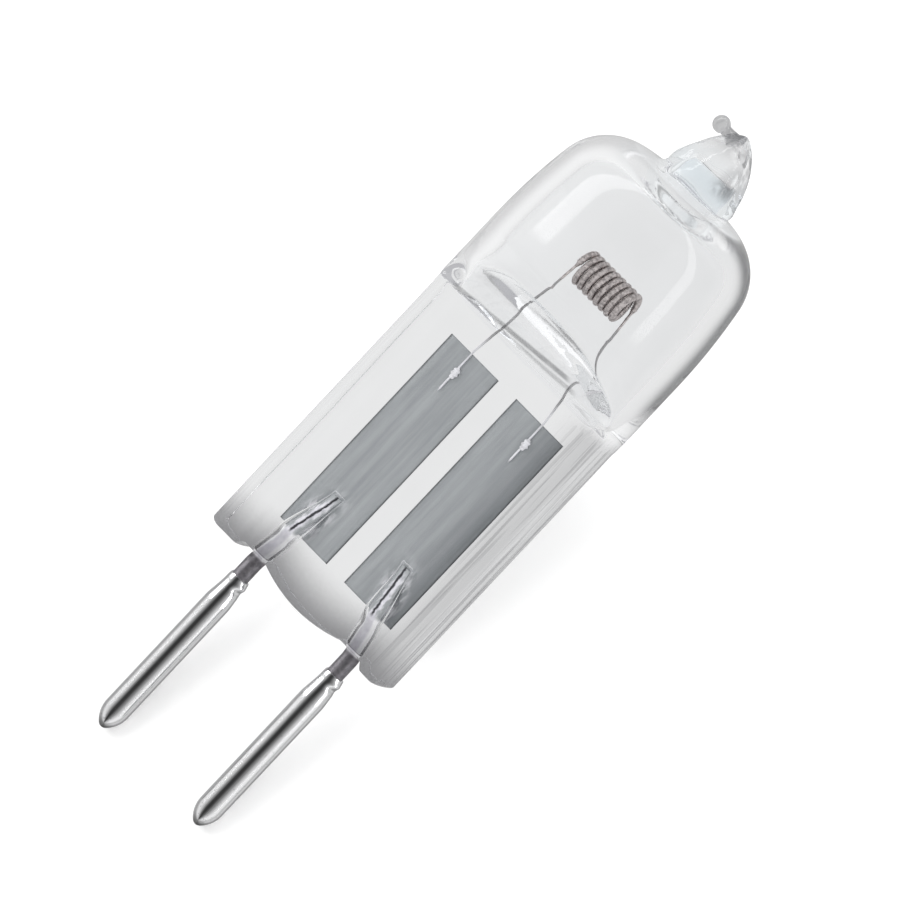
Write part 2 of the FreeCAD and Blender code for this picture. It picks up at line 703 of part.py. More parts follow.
def make_pin(name):
    """A contact pin on its own axis: a deep-drawn sleeve with a round-pointed nose, crimped on its lead."""
    body = doc.addObject("PartDesign::Body", name)
    bore = f"({size('lead_diameter')} / 2 + {size('pin_bore_clearance')})"
    mouth = f"(-{size('pin_neck')})"
    bead_top = f"({mouth} - {size('crimp_mouth_length')})"
    bead_end = f"({bead_top} - {size('crimp_bead_length')})"
    waist_top = f"({bead_end} - {size('crimp_waist_length')} / 2)"
    waist_end = f"({bead_end} - {size('crimp_waist_length')})"
    shoulder = f"({waist_end} - {size('crimp_shoulder_length')})"
    bead = f"{size('crimp_bead_diameter')} / 2"
    waist = f"{size('crimp_waist_diameter')} / 2"
    tip_radius = size("pin_nose_radius")
    join = f"({NOSE_ARC_RADIUS} - {tip_radius})"
    arc_centre_x = f"({PIN_RADIUS} - {NOSE_ARC_RADIUS})"
    join_x = f"{arc_centre_x} - {NOSE_ARC_RADIUS} * {arc_centre_x} / {join}"
    join_z = f"{NOSE_START} - {NOSE_ARC_RADIUS} * {NOSE_RISE} / {join}"
    bore_end = f"({mouth} - {size('pin_bore_depth')})"
    outline = [
        (bore, mouth, None),
        (f"{bore} + {size('crimp_mouth_wall')}", mouth, None),
        (bead, bead_top, None),
        (bead, bead_end, None),
        (waist, waist_top, None),
        (waist, waist_end, None),
        (PIN_RADIUS, shoulder, None),
        (PIN_RADIUS, NOSE_START, (NOSE_ARC_RADIUS, "right")),
        (join_x, join_z, (tip_radius, "right")),
        ("0", PIN_END, None),
        ("0", bore_end, None),
        (bore, bore_end, None),
    ]
    revolve(body, "sleeve", outline)
    return body


def coil_route():
    """The axis of the coil's wire. It starts upwards at the front of the left end, and ends downwards at the
    rear of the right end."""
    turns = measure(size("coil_turns"))
    runs = round(turns * RUNS_PER_TURN)
    middle = point(size("base_offset"), "0", COIL_AXIS_HEIGHT)
    length = measure(COIL_LENGTH)
    radius = measure(COIL_RADIUS)
    route = []
    for index in range(runs + 1):
        share = index / runs
        angle = 2 * math.pi * turns * share
        offset = FreeCAD.Vector(
            (share - 0.5) * length,
            -radius * math.cos(angle),
            radius * math.sin(angle),
        )
        route.append(middle + offset)
    return route


def leg_route(side):
    """A leg's axis, from its foot on the foil up to a little way inside the coil's thicker wire."""
    coil_end, bend, foot = leg_points(side)
    ahead = coil_end - bend
    ahead.normalize()
    return [foot, bend, coil_end + ahead * measure(f"{size('coil_wire_diameter')} / 3")]


def make_wire(name, nodes, corner):
    """A wire swept along straight runs, mitred where they meet. Its corner radius is an expression."""
    route = doc.addObject("Part::Polygon", f"{name}_route")
    route.Nodes = nodes
    route.Close = False
    section = doc.addObject("Part::RegularPolygon", f"{name}_section")
    section.Polygon = WIRE_SIDES
    section.setExpression("Circumradius", corner)
    section.Placement = tilted(nodes[0], nodes[1])
    wire = doc.addObject("Part::Sweep", name)
    wire.Sections = [section]
    wire.Spine = (route, [])
    wire.Solid = True
    wire.Frenet = False
    wire.Transition = "Right corner"
    return wire


def make_filament():
    """The coil of wound wire, its two thin legs, and the flat spots that weld them to the foils."""
    pieces = [make_wire("coil", coil_route(), COIL_CORNER)]
    for name, side in SIDES:
        pieces.append(make_wire(f"{name}_leg", leg_route(side), LEG_CORNER))
        foot = point(leg_x(side), FOIL_FACE, WELD_Z)
        crown = point(leg_x(side), f"{FOIL_FACE} - {size('weld_height')}", WELD_Z)
        pieces.append(rod(f"{name}_weld", foot, crown, f"{size('weld_diameter')} / 2"))
    return fuse("filament", pieces)


# Resting place

def resting_tilt():
    """The angle in degrees between the lamp and the floor when it lies on its pins and its bulb. Both
    touch the floor with an arc, of the pin's nose and of the shoulder's crest."""
    along = measure(f"{SHOULDER_TOP} - {NOSE_START}")
    across = measure(
        f"{BULB_RADIUS} - {size('shoulder_crest_radius')} - {PIN_RADIUS} + {NOSE_ARC_RADIUS}"
    )
    difference = measure(f"{size('shoulder_crest_radius')} - {NOSE_ARC_RADIUS}")
    slope = math.atan2(across, along)
    return math.degrees(slope + math.asin(difference / math.hypot(along, across)))


def resting_placement():
    """Lays the lamp's Z axis along the row's X axis, tilted, with its front up and its floor at zero."""
    tilt = math.radians(resting_tilt())
    crest_depth = measure(f"{BULB_RADIUS} - {size('shoulder_crest_radius')}")
    lowest = (
        measure(SHOULDER_TOP) * math.sin(tilt)
        - crest_depth * math.cos(tilt)
        - measure(size("shoulder_crest_radius"))
    )
    frame = FreeCAD.Matrix(
        0, math.sin(tilt), math.cos(tilt), 0,
        -1, 0, 0, 0,
        0, -math.cos(tilt), math.sin(tilt), -lowest,
        0, 0, 0, 1,
    )
    return FreeCAD.Placement(frame)


# Making and writing the pieces

pieces = {"quartz_envelope": make_envelope(), "filament": make_filament()}
own_places = {}
for name, side in SIDES:
    pieces[f"{name}_foil"] = make_foil(f"{name}_foil", side)
    pieces[f"{name}_lead"] = make_lead(f"{name}_lead", side)
    pin = make_pin(f"{name}_contact_pin")
    pieces[f"{name}_contact_pin"] = pin
    own_places[f"{name}_contact_pin"] = point(pin_x(side), "0", "0")
doc.recompute()

# The row's origin lies under the middle of the lying lamp, so the first placement is shifted by it.
rest = resting_placement()
for label, piece in pieces.items():
    piece.Label = label
    own = FreeCAD.Placement(own_places.get(label, FreeCAD.Vector()), FreeCAD.Rotation())
    piece.Placement = rest.multiply(own)
doc.recompute()
boxes = [piece.Shape.optimalBoundingBox(False, False) for piece in pieces.values()]
middle_x = (min(box.XMin for box in boxes) + max(box.XMax for box in boxes)) / 2
middle_y = (min(box.YMin for box in boxes) + max(box.YMax for box in boxes)) / 2
shift = FreeCAD.Placement(FreeCAD.Vector(-middle_x, -middle_y, 0), FreeCAD.Rotation())
for piece in pieces.values():
    piece.Placement = shift.multiply(piece.Placement)
doc.recompute()

for item in doc.Objects:
    if "Invalid" in item.State or "Error" in item.State:
        raise RuntimeError(f"{item.Name} failed to build: {item.State}")
for label, piece in pieces.items():
    if piece.Shape.isNull() or not piece.Shape.isValid():
        raise RuntimeError(f"{label} has no valid shape")

os.makedirs("parts", exist_ok=True)
for label, piece in pieces.items():
    piece.Shape.exportStep(os.path.join("parts", f"{label}.step"))
    box = piece.Shape.optimalBoundingBox(False, False)
    volume = piece.Shape.Volume
    print(f"{label}: {len(piece.Shape.Solids)} solid, {volume:.3f} mm3, lowest {box.ZMin:.3f} mm")
print(f"resting tilt {resting_tilt():.2f} degrees, shift {middle_x:.3f}, {middle_y:.3f} mm")
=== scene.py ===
"""Looks of a clear halogen capsule lamp that lies on its bulb and its two pins.

Sizes are in millimetres on the lamp's own axes: X across the pins, Y through the flat pinch, Z along the
lamp towards its sealed tip, with zero where the leads leave the glass. LampAxes puts them in the row frame,
in metres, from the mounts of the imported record.
"""
import json
import logging
import math
from dataclasses import dataclass
from enum import Enum
from typing import Callable, Sequence, Union

import bmesh
import bpy
import numpy as np
from mathutils import Matrix, Vector


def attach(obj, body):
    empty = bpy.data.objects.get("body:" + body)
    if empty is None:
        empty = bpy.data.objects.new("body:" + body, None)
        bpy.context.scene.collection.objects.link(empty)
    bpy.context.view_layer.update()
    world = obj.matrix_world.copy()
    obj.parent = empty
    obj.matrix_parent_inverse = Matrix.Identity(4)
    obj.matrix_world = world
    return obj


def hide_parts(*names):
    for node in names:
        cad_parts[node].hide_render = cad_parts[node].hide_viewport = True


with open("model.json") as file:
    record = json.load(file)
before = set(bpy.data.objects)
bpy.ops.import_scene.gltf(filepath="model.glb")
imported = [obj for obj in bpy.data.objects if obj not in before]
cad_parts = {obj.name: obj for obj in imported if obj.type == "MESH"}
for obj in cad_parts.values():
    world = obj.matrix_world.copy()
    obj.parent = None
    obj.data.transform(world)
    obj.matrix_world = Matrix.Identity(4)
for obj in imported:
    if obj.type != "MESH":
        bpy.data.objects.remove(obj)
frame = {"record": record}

Array = np.ndarray
Band = tuple[float, float]
Colour = tuple[float, float, float]
MM = 0.001
# Shared sizes of the pinch: the pins sit off its middle, and the leads lean inwards from them.
BASE_OFFSET = 0.25
PIN_SPACING = 6.35
FOIL_SPACING = 4.28
LEAD_BEND_DEPTH = 0.35
LEAD_LEAN = 10.5
# The drops of the pinch's lobes below the line of its notches.
MIDDLE_LOBE_DROP = 0.46
SIDE_LOBE_DROP = 0.35
# Points nearer than this, in metres, are one point, and shorter edges are none.
MERGE_DISTANCE = 1e-7
SHORTEST_EDGE = 1e-8
LOG = logging.getLogger("lamp")


class Side(Enum):
    """The lamp's two halves, as the sign of their X. Left and right are seen from the front, tip up."""

    LEFT = -1
    RIGHT = 1

    @property
    def word(self) -> str:
        """The side's name in the names of pieces."""
        return self.name.lower()


class Ends(Enum):
    """How the end rows of a skin are closed: they are poles or seams already, or a strip of faces joins the
    two halves of each."""

    DRAWN = "drawn"
    STRIP = "strip"


@dataclass(frozen=True)
class Skin:
    """A closed surface of a piece, on the lamp's axes.

    Its grid has the shape rows, columns, 3. The faces of a hollow inside the piece are turned inwards.
    """

    grid: Array
    ends: Ends = Ends.DRAWN
    inwards: bool = False


# Curves and surfaces

def arc(centre: Sequence[float], radius: float, start: float, end: float, count: int) -> Array:
    """Points of a circle: its centre plus the radius times the cosine and the sine of the angle.

    Args:
        centre: the two coordinates of its centre.
        radius: its radius.
        start: the first angle, in degrees.
        end: the last angle, in degrees.
        count: how many points.

    Returns:
        The points, count by 2.
    """
    angle = np.radians(np.linspace(start, end, count))
    return np.stack([centre[0] + radius * np.cos(angle), centre[1] + radius * np.sin(angle)], axis=1)


def step(value: Array, low: float, high: float) -> Array:
    """A smooth step: the cubic 3t^2 - 2t^3 of the share t of the way from low to high.

    Args:
        value: where it is read.
        low: where it is 0.
        high: where it is 1.

    Returns:
        The step's height at each value.
    """
    share = np.clip((value - low) / (high - low), 0.0, 1.0)
    return share * share * (3.0 - 2.0 * share)


def resample(line: Array, spacing: Callable[[Array], Array]) -> Array:
    """A line's points again, at a spacing that depends on where they are.

    The length along the line is divided by the spacing and summed, and points are read off at whole steps
    of that sum.

    Args:
        line: the points, count by dimensions.
        spacing: gives the wanted spacing at each point.

    Returns:
        The new points, ends included.
    """
    gaps = np.linalg.norm(np.diff(line, axis=0), axis=1)
    middle = (line[1:] + line[:-1]) / 2
    walked = np.concatenate([[0.0], np.cumsum(gaps / spacing(middle))])
    marks = np.linspace(0.0, walked[-1], max(int(round(walked[-1])), 2) + 1)
    return np.stack([np.interp(marks, walked, line[:, axis]) for axis in range(line.shape[1])], axis=1)


def soften(line: Array, corner: Sequence[float], reach: float, passes: int) -> Array:
    """A line with one corner rounded: near it, each point is moved towards the mean of its neighbours.

    Args:
        line: evenly spaced points.
        corner: the place of the corner.
        reach: how far from the corner points move.
        passes: how often they move.

    Returns:
        The rounded line.
    """
    out = line.copy()
    weight = 1.0 - step(np.linalg.norm(line - np.asarray(corner), axis=1), reach * 0.5, reach)
    for _ in range(passes):
        mean = (out[:-2] + out[2:]) / 2
        out[1:-1] += (mean - out[1:-1]) * weight[1:-1, None]
    return out


@dataclass(frozen=True)
class LampAxes:
    """The lamp's own axes in the row frame, found from the mounts on its two pins, which lie at one height
    on those axes."""

    pin_mount_height: float = -6.07
    base_offset: float = BASE_OFFSET

    @property
    def turn(self) -> Array:
        """The lamp's X, Y and Z axes in the row frame, as the columns of a matrix."""
        mount = frame["record"]["mounts"][0]
        along = -np.asarray(mount["axis"], float)
        along /= np.linalg.norm(along)
        across = np.array([0.0, -1.0, 0.0])
        return np.stack([across, np.cross(along, across), along], axis=1)

    @property
    def origin(self) -> Array:
        """The lamp's origin in the row frame, in metres."""
        mounts = [np.asarray(mount["pos_m"], float) for mount in frame["record"]["mounts"]]
        middle = (mounts[0] + mounts[1]) / 2
        own = np.array([self.base_offset, 0.0, self.pin_mount_height]) * MM
        return middle - self.turn @ own

    def place(self, points: Array) -> Array:
        """Points on the lamp's axes, in millimetres, as points of the row frame, in metres."""
        return points.reshape(-1, 3) @ self.turn.T * MM + self.origin

    def direction(self, vector: Sequence[float]) -> Array:
        """A direction on the lamp's axes as one of the row frame."""
        return self.turn @ np.asarray(vector, float)


AXES = LampAxes()


def skin_faces(skin: Skin) -> list:
    """The faces of a skin that closes on itself round each row. The strip that closes an end row ends in a
    triangle on both sides.

    Args:
        skin: the skin.

    Returns:
        Lists of point numbers.
    """
    rows, columns, _ = skin.grid.shape
    index = np.arange(rows * columns).reshape(rows, columns)
    beside = np.roll(index, -1, axis=1)
    quads = np.stack([index[:-1], beside[:-1], beside[1:], index[1:]], axis=-1).reshape(-1, 4)
    faces = quads.tolist()
    if skin.ends is Ends.STRIP:
        for row, order in ((index[0], -1), (index[-1], 1)):
            half = columns // 2
            left = row[: half + 1]
            right = np.roll(row[::-1], 1)[: half + 1]
            strip = np.stack([left[:-1], left[1:], right[1:], right[:-1]], axis=-1)[:, ::order]
            faces += [list(dict.fromkeys(face)) for face in strip.tolist()]
    return [face[::-1] for face in faces] if skin.inwards else faces


def make_piece(name: str, skins: Sequence[Skin]) -> bpy.types.Object:
    """One smooth object of one or more skins.

    Args:
        name: the piece's name.
        skins: its surfaces.

    Returns:
        The object, riding on the lamp's only body.
    """
    points = []
    faces = []
    count = 0
    for skin in skins:
        faces += [[count + corner for corner in face] for face in skin_faces(skin)]
        points.append(AXES.place(skin.grid))
        count += len(points[-1])
    mesh = bpy.data.meshes.new(name)
    mesh.from_pydata(np.concatenate(points).tolist(), [], faces)
    mesh.validate()
    merge_doubles(mesh)
    mesh.polygons.foreach_set("use_smooth", np.ones(len(mesh.polygons), bool))
    mesh.update()
    piece = show(name, mesh)
    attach(piece, "root")
    LOG.info("%s: %d faces", name, len(mesh.polygons))
    return piece


def show(name: str, data: bpy.types.ID) -> bpy.types.Object:
    """A new object of the scene with that mesh, camera or light."""
    made = bpy.data.objects.new(name, data)
    bpy.context.scene.collection.objects.link(made)
    return made


def merge_doubles(mesh: bpy.types.Mesh) -> None:
    """Joins points that share a place, as at a seam or a pole.

    Args:
        mesh: the mesh, changed in place.
    """
    work = bmesh.new()
    work.from_mesh(mesh)
    bmesh.ops.remove_doubles(work, verts=work.verts, dist=MERGE_DISTANCE)
    bmesh.ops.dissolve_degenerate(work, dist=SHORTEST_EDGE, edges=work.edges)
    work.to_mesh(mesh)
    work.free()


def turned(line: Array, columns: int) -> Array:
    """The surface that a line sweeps round the Z axis: x and y are its first coordinate times the cosine
    and the sine of the angle, and z is its second.

    Args:
        line: radius and height, count by 2.
        columns: how many points a turn has.

    Returns:
        The grid of points.
    """
    angle = np.linspace(0, 2 * np.pi, columns, endpoint=False)
    radius, height = line[:, :1], line[:, 1:]
    x = radius * np.cos(angle)
    return np.stack([x, radius * np.sin(angle), np.broadcast_to(height, x.shape)], axis=-1)


def tube(route: Array, radius: Array, columns: int) -> Array:
    """A round tube along a route: each point of the route plus the radius times the cosine and the sine of
    the angle, along two directions across the route that are carried along it without twist.

    Args:
        route: its points, count by 3.
        radius: the tube's radius at each point.
        columns: how many points a turn has.

    Returns:
        The grid of points.
    """
    ahead = np.gradient(route, axis=0)
    ahead /= np.linalg.norm(ahead, axis=1)[:, None]
    first = np.empty_like(route)
    across = np.array([1.0, 0.0, 0.0])
    for number, direction in enumerate(ahead):
        across = across - direction * (across @ direction)
        across /= np.linalg.norm(across)
        first[number] = across
    second = np.cross(ahead, first)
    angle = np.linspace(0, 2 * np.pi, columns, endpoint=False)
    ring = first[:, None] * np.cos(angle)[None, :, None] + second[:, None] * np.sin(angle)[None, :, None]
    return route[:, None] + ring * radius[:, None, None]


# Shader nodes

class Socket:
    """An output of a shader graph, with arithmetic that adds Math nodes."""

    def __init__(self, graph: "Graph", link: bpy.types.NodeSocket) -> None:
        """Keeps the graph and the output."""
        self.graph = graph
        self.link = link

    def _math(self, kind: str, *values: "Value") -> "Socket":
        """A Math node of that kind."""
        return self.graph.node("ShaderNodeMath", {"operation": kind}, dict(enumerate(values)))

    def __add__(self, other: "Value") -> "Socket":
        """Sum."""
        return self._math("ADD", self, other)

    def __radd__(self, other: "Value") -> "Socket":
        """Sum."""
        return self._math("ADD", other, self)

    def __sub__(self, other: "Value") -> "Socket":
        """Difference."""
        return self._math("SUBTRACT", self, other)

    def __rsub__(self, other: "Value") -> "Socket":
        """Difference."""
        return self._math("SUBTRACT", other, self)

    def __mul__(self, other: "Value") -> "Socket":
        """Product."""
        return self._math("MULTIPLY", self, other)

    def __rmul__(self, other: "Value") -> "Socket":
        """Product."""
        return self._math("MULTIPLY", other, self)

    def __truediv__(self, other: "Value") -> "Socket":
        """Quotient."""
        return self._math("DIVIDE", self, other)

    def __neg__(self) -> "Socket":
        """Negative."""
        return self._math("MULTIPLY", self, -1.0)

    def most(self, other: "Value") -> "Socket":
        """The larger of two."""
        return self._math("MAXIMUM", self, other)

    def least(self, other: "Value") -> "Socket":
        """The smaller of two."""
        return self._math("MINIMUM", self, other)

    def size(self) -> "Socket":
        """The value without its sign."""
        return self._math("ABSOLUTE", self)

    def between(self, low: float, high: float) -> "Socket":
        """How far the value is from low to high, from 0 to 1, smoothly."""
        return self.graph.node(
            "ShaderNodeMapRange",
            {"interpolation_type": "SMOOTHSTEP"},
            {"Value": self, "From Min": low, "From Max": high},
        )


Value = Union[Socket, float, Sequence[float]]
Stops = Sequence[tuple]


class Graph:
    """A node tree, and the one way in which nodes are added to it."""

    def __init__(self, tree: bpy.types.NodeTree) -> None:
        """Starts an empty tree."""
        self.tree = tree
        tree.nodes.clear()

    def node(self, kind: str, settings: dict, inputs: dict, output: Union[str, int] = 0) -> Socket:
        """Adds a node.

        Args:
            kind: the node's type.
            settings: its own settings. A ramp's stops are given as "stops".
            inputs: a value or a Socket for each input, by name or number.
            output: the output that is read.

        Returns:
            That output.
        """
        made = self.tree.nodes.new(kind)
        for name, value in settings.items():
            if name == "stops":
                self._stops(made.color_ramp, value)
            else:
                setattr(made, name, value)
        for name, value in inputs.items():
            if isinstance(value, Socket):
                self.tree.links.new(value.link, made.inputs[name])
            else:
                made.inputs[name].default_value = value
        return Socket(self, made.outputs[output])

    def _stops(self, ramp: bpy.types.ColorRamp, stops: Stops) -> None:
        """Sets a ramp's stops, each a place and a grey."""
        ramp.interpolation = "B_SPLINE"
        while len(ramp.elements) < len(stops):
            ramp.elements.new(1.0)
        for element, (place, grey) in zip(ramp.elements, stops):
            element.position = place
            element.color = (grey, grey, grey, 1.0)

    def output(self, kind: str, surface: Socket) -> None:
        """Joins a shader to the tree's output."""
        made = self.tree.nodes.new(kind)
        self.tree.links.new(surface.link, made.inputs["Surface"])

    def place(self, scale: Sequence[float] = (1, 1, 1)) -> Socket:
        """The point's place on the object, in millimetres on the lamp's axes, times a scale for each axis."""
        raw = self.node("ShaderNodeTexCoord", {}, {}, "Object")
        settings = {"operation": "SUBTRACT"}
        own = self.node("ShaderNodeVectorMath", settings, {0: raw, 1: tuple(AXES.origin)})
        parts = [self.along(own, AXES.turn[:, axis] * factor / MM) for axis, factor in enumerate(scale)]
        return self.node("ShaderNodeCombineXYZ", {}, dict(enumerate(parts)))

    def along(self, vector: Socket, direction: Array) -> Socket:
        """A vector's dot product with a fixed direction."""
        settings = {"operation": "DOT_PRODUCT"}
        return self.node("ShaderNodeVectorMath", settings, {0: vector, 1: tuple(direction)}, "Value")

    def axis(self, vector: Socket, number: int) -> Socket:
        """One coordinate of a vector."""
        return self.node("ShaderNodeSeparateXYZ", {}, {0: vector}, number)

    def noise(self, vector: Socket, scale: float, detail: float = 3.0, rough: float = 0.5) -> Socket:
        """A noise value between 0 and 1 at a place."""
        inputs = {"Vector": vector, "Scale": scale, "Detail": detail, "Roughness": rough}
        return self.node("ShaderNodeTexNoise", {}, inputs, "Fac")

    def light_path(self, output: str) -> Socket:
        """What kind of ray sees the point, or how often it has been mirrored."""
        return self.node("ShaderNodeLightPath", {}, {}, output)

    def blend(self, factor: Value, first: Value, second: Value) -> Socket:
        """A colour between two. The node has inputs of the same name for each kind of data, so they are
        found by their identifiers.

        Args:
            factor: 0 gives the first colour and 1 the second.
            first: the first colour.
            second: the second colour.

        Returns:
            The mixed colour.
        """
        made = self.tree.nodes.new("ShaderNodeMix")
        made.data_type = "RGBA"
        for name, value in (("Factor_Float", factor), ("A_Color", first), ("B_Color", second)):
            socket = next(item for item in made.inputs if item.identifier == name)
            if isinstance(value, Socket):
                self.tree.links.new(value.link, socket)
            else:
                socket.default_value = value if name == "Factor_Float" else (*value, 1.0)
        return Socket(self, next(item for item in made.outputs if item.identifier == "Result_Color"))

    def bump(self, height: Socket, depth: float) -> Socket:
        """A normal that a height tilts, as relief of that depth in millimetres."""
        inputs = {"Height": height, "Distance": depth * MM, "Strength": 1.0}
        return self.node("ShaderNodeBump", {}, inputs)


class Finish:
    """A finish that fills a material with its nodes."""

    name = "finish"
    slot = "finish"

    def shade(self, graph: Graph) -> Socket:
        """The surface shader."""
        raise NotImplementedError

    def material(self) -> bpy.types.Material:
        """The material, made once.

        Returns:
            The material.
        """
        found = bpy.data.materials.get(self.name)
        if found is not None:
            return found
        made = bpy.data.materials.new(self.name)
        made.use_nodes = True
        graph = Graph(made.node_tree)
        graph.output("ShaderNodeOutputMaterial", self.shade(graph))
        return made

    def dress(self, piece: bpy.types.Object) -> None:
        """Puts the finish on a piece.

        Args:
            piece: the object.
        """
        piece.data.materials.clear()
        piece.data.materials.append(self.material())


def principled(graph: Graph, inputs: dict) -> Socket:
    """The Principled shader with those inputs."""
    return graph.node("ShaderNodeBsdfPrincipled", {}, inputs)


@dataclass(frozen=True)
class Quartz(Finish):
    """Clear fused quartz: smooth, with a fine drawn waviness along the lamp, painted grey shade at the
    pinch's rim and right side and on the tip and its bead, and painted dark shade at the bulb's edges and in
    a line over the foils. A band is a value where something starts and one where it is complete, in
    millimetres on the lamp's axes unless it says otherwise."""

    name: str = "clear_quartz"
    slot: str = "quartz"
    tint: Colour = (0.97, 0.975, 0.98)
    cloud_share: float = 0.985
    # Grey of the painted shade at the pinch's rim and right side and on the tip and its bead.
    grey_shade_tint: Colour = (0.30, 0.30, 0.31)
    bore_tint: Colour = (0.91, 0.945, 0.965)
    # Dark of the painted shade at the bulb's edges and in the line over the foils.
    dark_shade_tint: Colour = (0.07, 0.07, 0.073)
    refraction: float = 1.22
    ripple_depth: float = 0.0035
    worked_band: Band = (25.6, 26.6)
    worked_depth: float = 60.0
    rim_band: Band = (-0.2, 2.5)
    bow_half_width: float = 2.43
    side_lobe_band: Band = (3.9, 4.4)
    pinch_top_band: Band = (14.2, 15.2)
    # Painted shade along the pinch's right side, with painted lines in it.
    side_band: Band = (2.9, 5.0)
    side_shade: float = 0.62
    line_shade: float = 0.7
    # Painted dark shade line over the foils.
    crease_height: float = 15.6
    crease_slope: float = 0.12
    crease_band: Band = (0.06, 0.22)
    crease_left_band: Band = (-4.8, -4.3)
    crease_right_band: Band = (2.6, 3.2)
    crease_front_band: Band = (-0.6, -0.3)
    crease_shade: float = 0.9
    # Painted grey shade on the tip, its right flank and its bead.
    tip_shade_band: Band = (27.2, 28.7)
    right_flank_shade_band: Band = (25.9, 26.6)
    right_flank_side_band: Band = (0.7, 1.5)
    tip_shade: float = 0.8
    bead_band: Band = (27.9, 28.2)
    bead_side_band: Band = (0.3, 0.7)
    bead_shade: float = 0.5
    bore_foot_band: Band = (24.6, 26.2)
    bore_top_band: Band = (26.2, 27.6)
    outside_band: Band = (5.05, 5.15)
    dome_start: float = 23.0
    dome_fall: float = 0.85
    bulb_foot_band: Band = (15.5, 17.5)
    bulb_top_band: Band = (25.2, 25.4)
    grazing_band: Band = (0.5, 0.72)
    deep_light: Colour = (0.25, 0.25, 0.26)
    deep_band: Band = (3.2, 3.8)

    def shade(self, graph: Graph) -> Socket:
        """Refracts with a faintly uneven tint, into which painted grey and dark shade is mixed. Light that is
        mirrored inside more than three times gains a little, so that it ends in grey and not in black where
        the renderer stops.

        Args:
            graph: the material's nodes.

        Returns:
            The shader.
        """
        place = graph.place()
        height = graph.axis(place, 2)
        cloud = graph.noise(place, 0.5, 2.0).between(0.3, 0.7)
        clouded = tuple(channel * self.cloud_share for channel in self.tint)
        bore = height.between(*self.bore_foot_band) * (1.0 - height.between(*self.bore_top_band))
        clear = graph.blend(bore, graph.blend(cloud, self.tint, clouded), self.bore_tint)
        # Painted grey shade at the pinch and on the tip.
        painted_grey_share = self.painted_pinch_shade(graph, place).most(self.painted_tip_shade(graph, place))
        colour = graph.blend(painted_grey_share, clear, self.grey_shade_tint)
        # Painted dark shade at the bulb's edges and in the line over the foils.
        dark = self.painted_edge_shade(graph, place).most(self.crease(graph, place, cloud))
        colour = graph.blend(dark, colour, self.dark_shade_tint)
        deep = graph.light_path("Glossy Depth").between(*self.deep_band)
        return principled(graph, {
            "Base Color": colour,
            "Roughness": 0.0,
            "IOR": self.refraction,
            "Transmission Weight": 1.0,
            "Emission Color": graph.blend(deep, (0.0, 0.0, 0.0), self.deep_light),
            "Emission Strength": 1.0,
            "Normal": self.relief(graph, place),
        })

    def relief(self, graph: Graph, place: Socket) -> Socket:
        """The normal, tilted by a waviness drawn along the lamp, a fine pebbling, and deeper waves on the
        tip, which the flame has worked.

        Args:
            graph: the material's nodes.
            place: the point on the lamp's axes.

        Returns:
            The normal.
        """
        drawn = graph.noise(graph.place((2.2, 2.2, 0.35)), 1.0, 2.0)
        pebbled = graph.noise(place, 1.6, 2.0)
        on_tip = graph.axis(place, 2).between(*self.worked_band)
        worked = graph.noise(place, 1.1, 1.0) * on_tip * self.worked_depth
        return graph.bump(drawn * 0.6 + pebbled + worked, self.ripple_depth)

    def painted_pinch_shade(self, graph: Graph, place: Socket) -> Socket:
        """How much painted grey shade the pinch has, towards its lobed bottom edge and in a band with painted
        lines along its right side. The two are joined by a + b - a * b.

        Args:
            graph: the material's nodes.
            place: the point on the lamp's axes.

        Returns:
            The share, from 0 to 1.
        """
        grain = graph.noise(place, 7.0, 3.0) * 0.25
        rim = 1.0 - (self.above_edge(graph, place) + grain - 0.1).between(*self.rim_band)
        pressed = 1.0 - graph.axis(place, 2).between(*self.pinch_top_band)
        side = graph.axis(place, 0).between(*self.side_band) * pressed * self.side_shade
        # Painted lines in the painted shade along the right side, for the shading of the side ridges.
        lines = graph.noise(graph.place((5.5, 5.5, 0.12)), 1.0, 2.0).between(0.5, 0.62)
        side = side * (lines * self.line_shade + 1.0 - self.line_shade / 2)
        return rim + side - rim * side

    def above_edge(self, graph: Graph, place: Socket) -> Socket:
        """The height above the pinch's bottom edge: Z, plus a parabola under the middle lobe, plus the drop
        of the side lobes.

        Args:
            graph: the material's nodes.
            place: the point on the lamp's axes.

        Returns:
            The height, in millimetres.
        """
        across = graph.axis(place, 0) - BASE_OFFSET
        share = across / self.bow_half_width
        bow = (1.0 - share * share).most(0.0) * MIDDLE_LOBE_DROP
        lobe = across.size().between(*self.side_lobe_band) * SIDE_LOBE_DROP
        return graph.axis(place, 2) + bow + lobe

    def crease(self, graph: Graph, place: Socket, cloud: Socket) -> Socket:
        """Painted dark shade in a line over the foils, on the front, where the chamber's floor lies behind
        the shoulder: how near the height is to a sloping line, between its ends.

        Args:
            graph: the material's nodes.
            place: the point on the lamp's axes.
            cloud: an unevenness, from 0 to 1.

        Returns:
            The share, from 0 to 1.
        """
        across, through, height = (graph.axis(place, number) for number in range(3))
        away = (height - across * self.crease_slope - self.crease_height).size()
        line = (1.0 - away.between(*self.crease_band)) * (cloud * 0.4 + 0.6) * self.crease_shade
        ends = (1.0 - across.between(*self.crease_right_band)) * across.between(*self.crease_left_band)
        return line * ends * (1.0 - through.between(*self.crease_front_band))

    def painted_tip_shade(self, graph: Graph, place: Socket) -> Socket:
        """How much painted grey shade the tip has: in patches at its top and its right side, and on its bead.

        Args:
            graph: the material's nodes.
            place: the point on the lamp's axes.

        Returns:
            The share, from 0 to 1.
        """
        across, height = graph.axis(place, 0), graph.axis(place, 2)
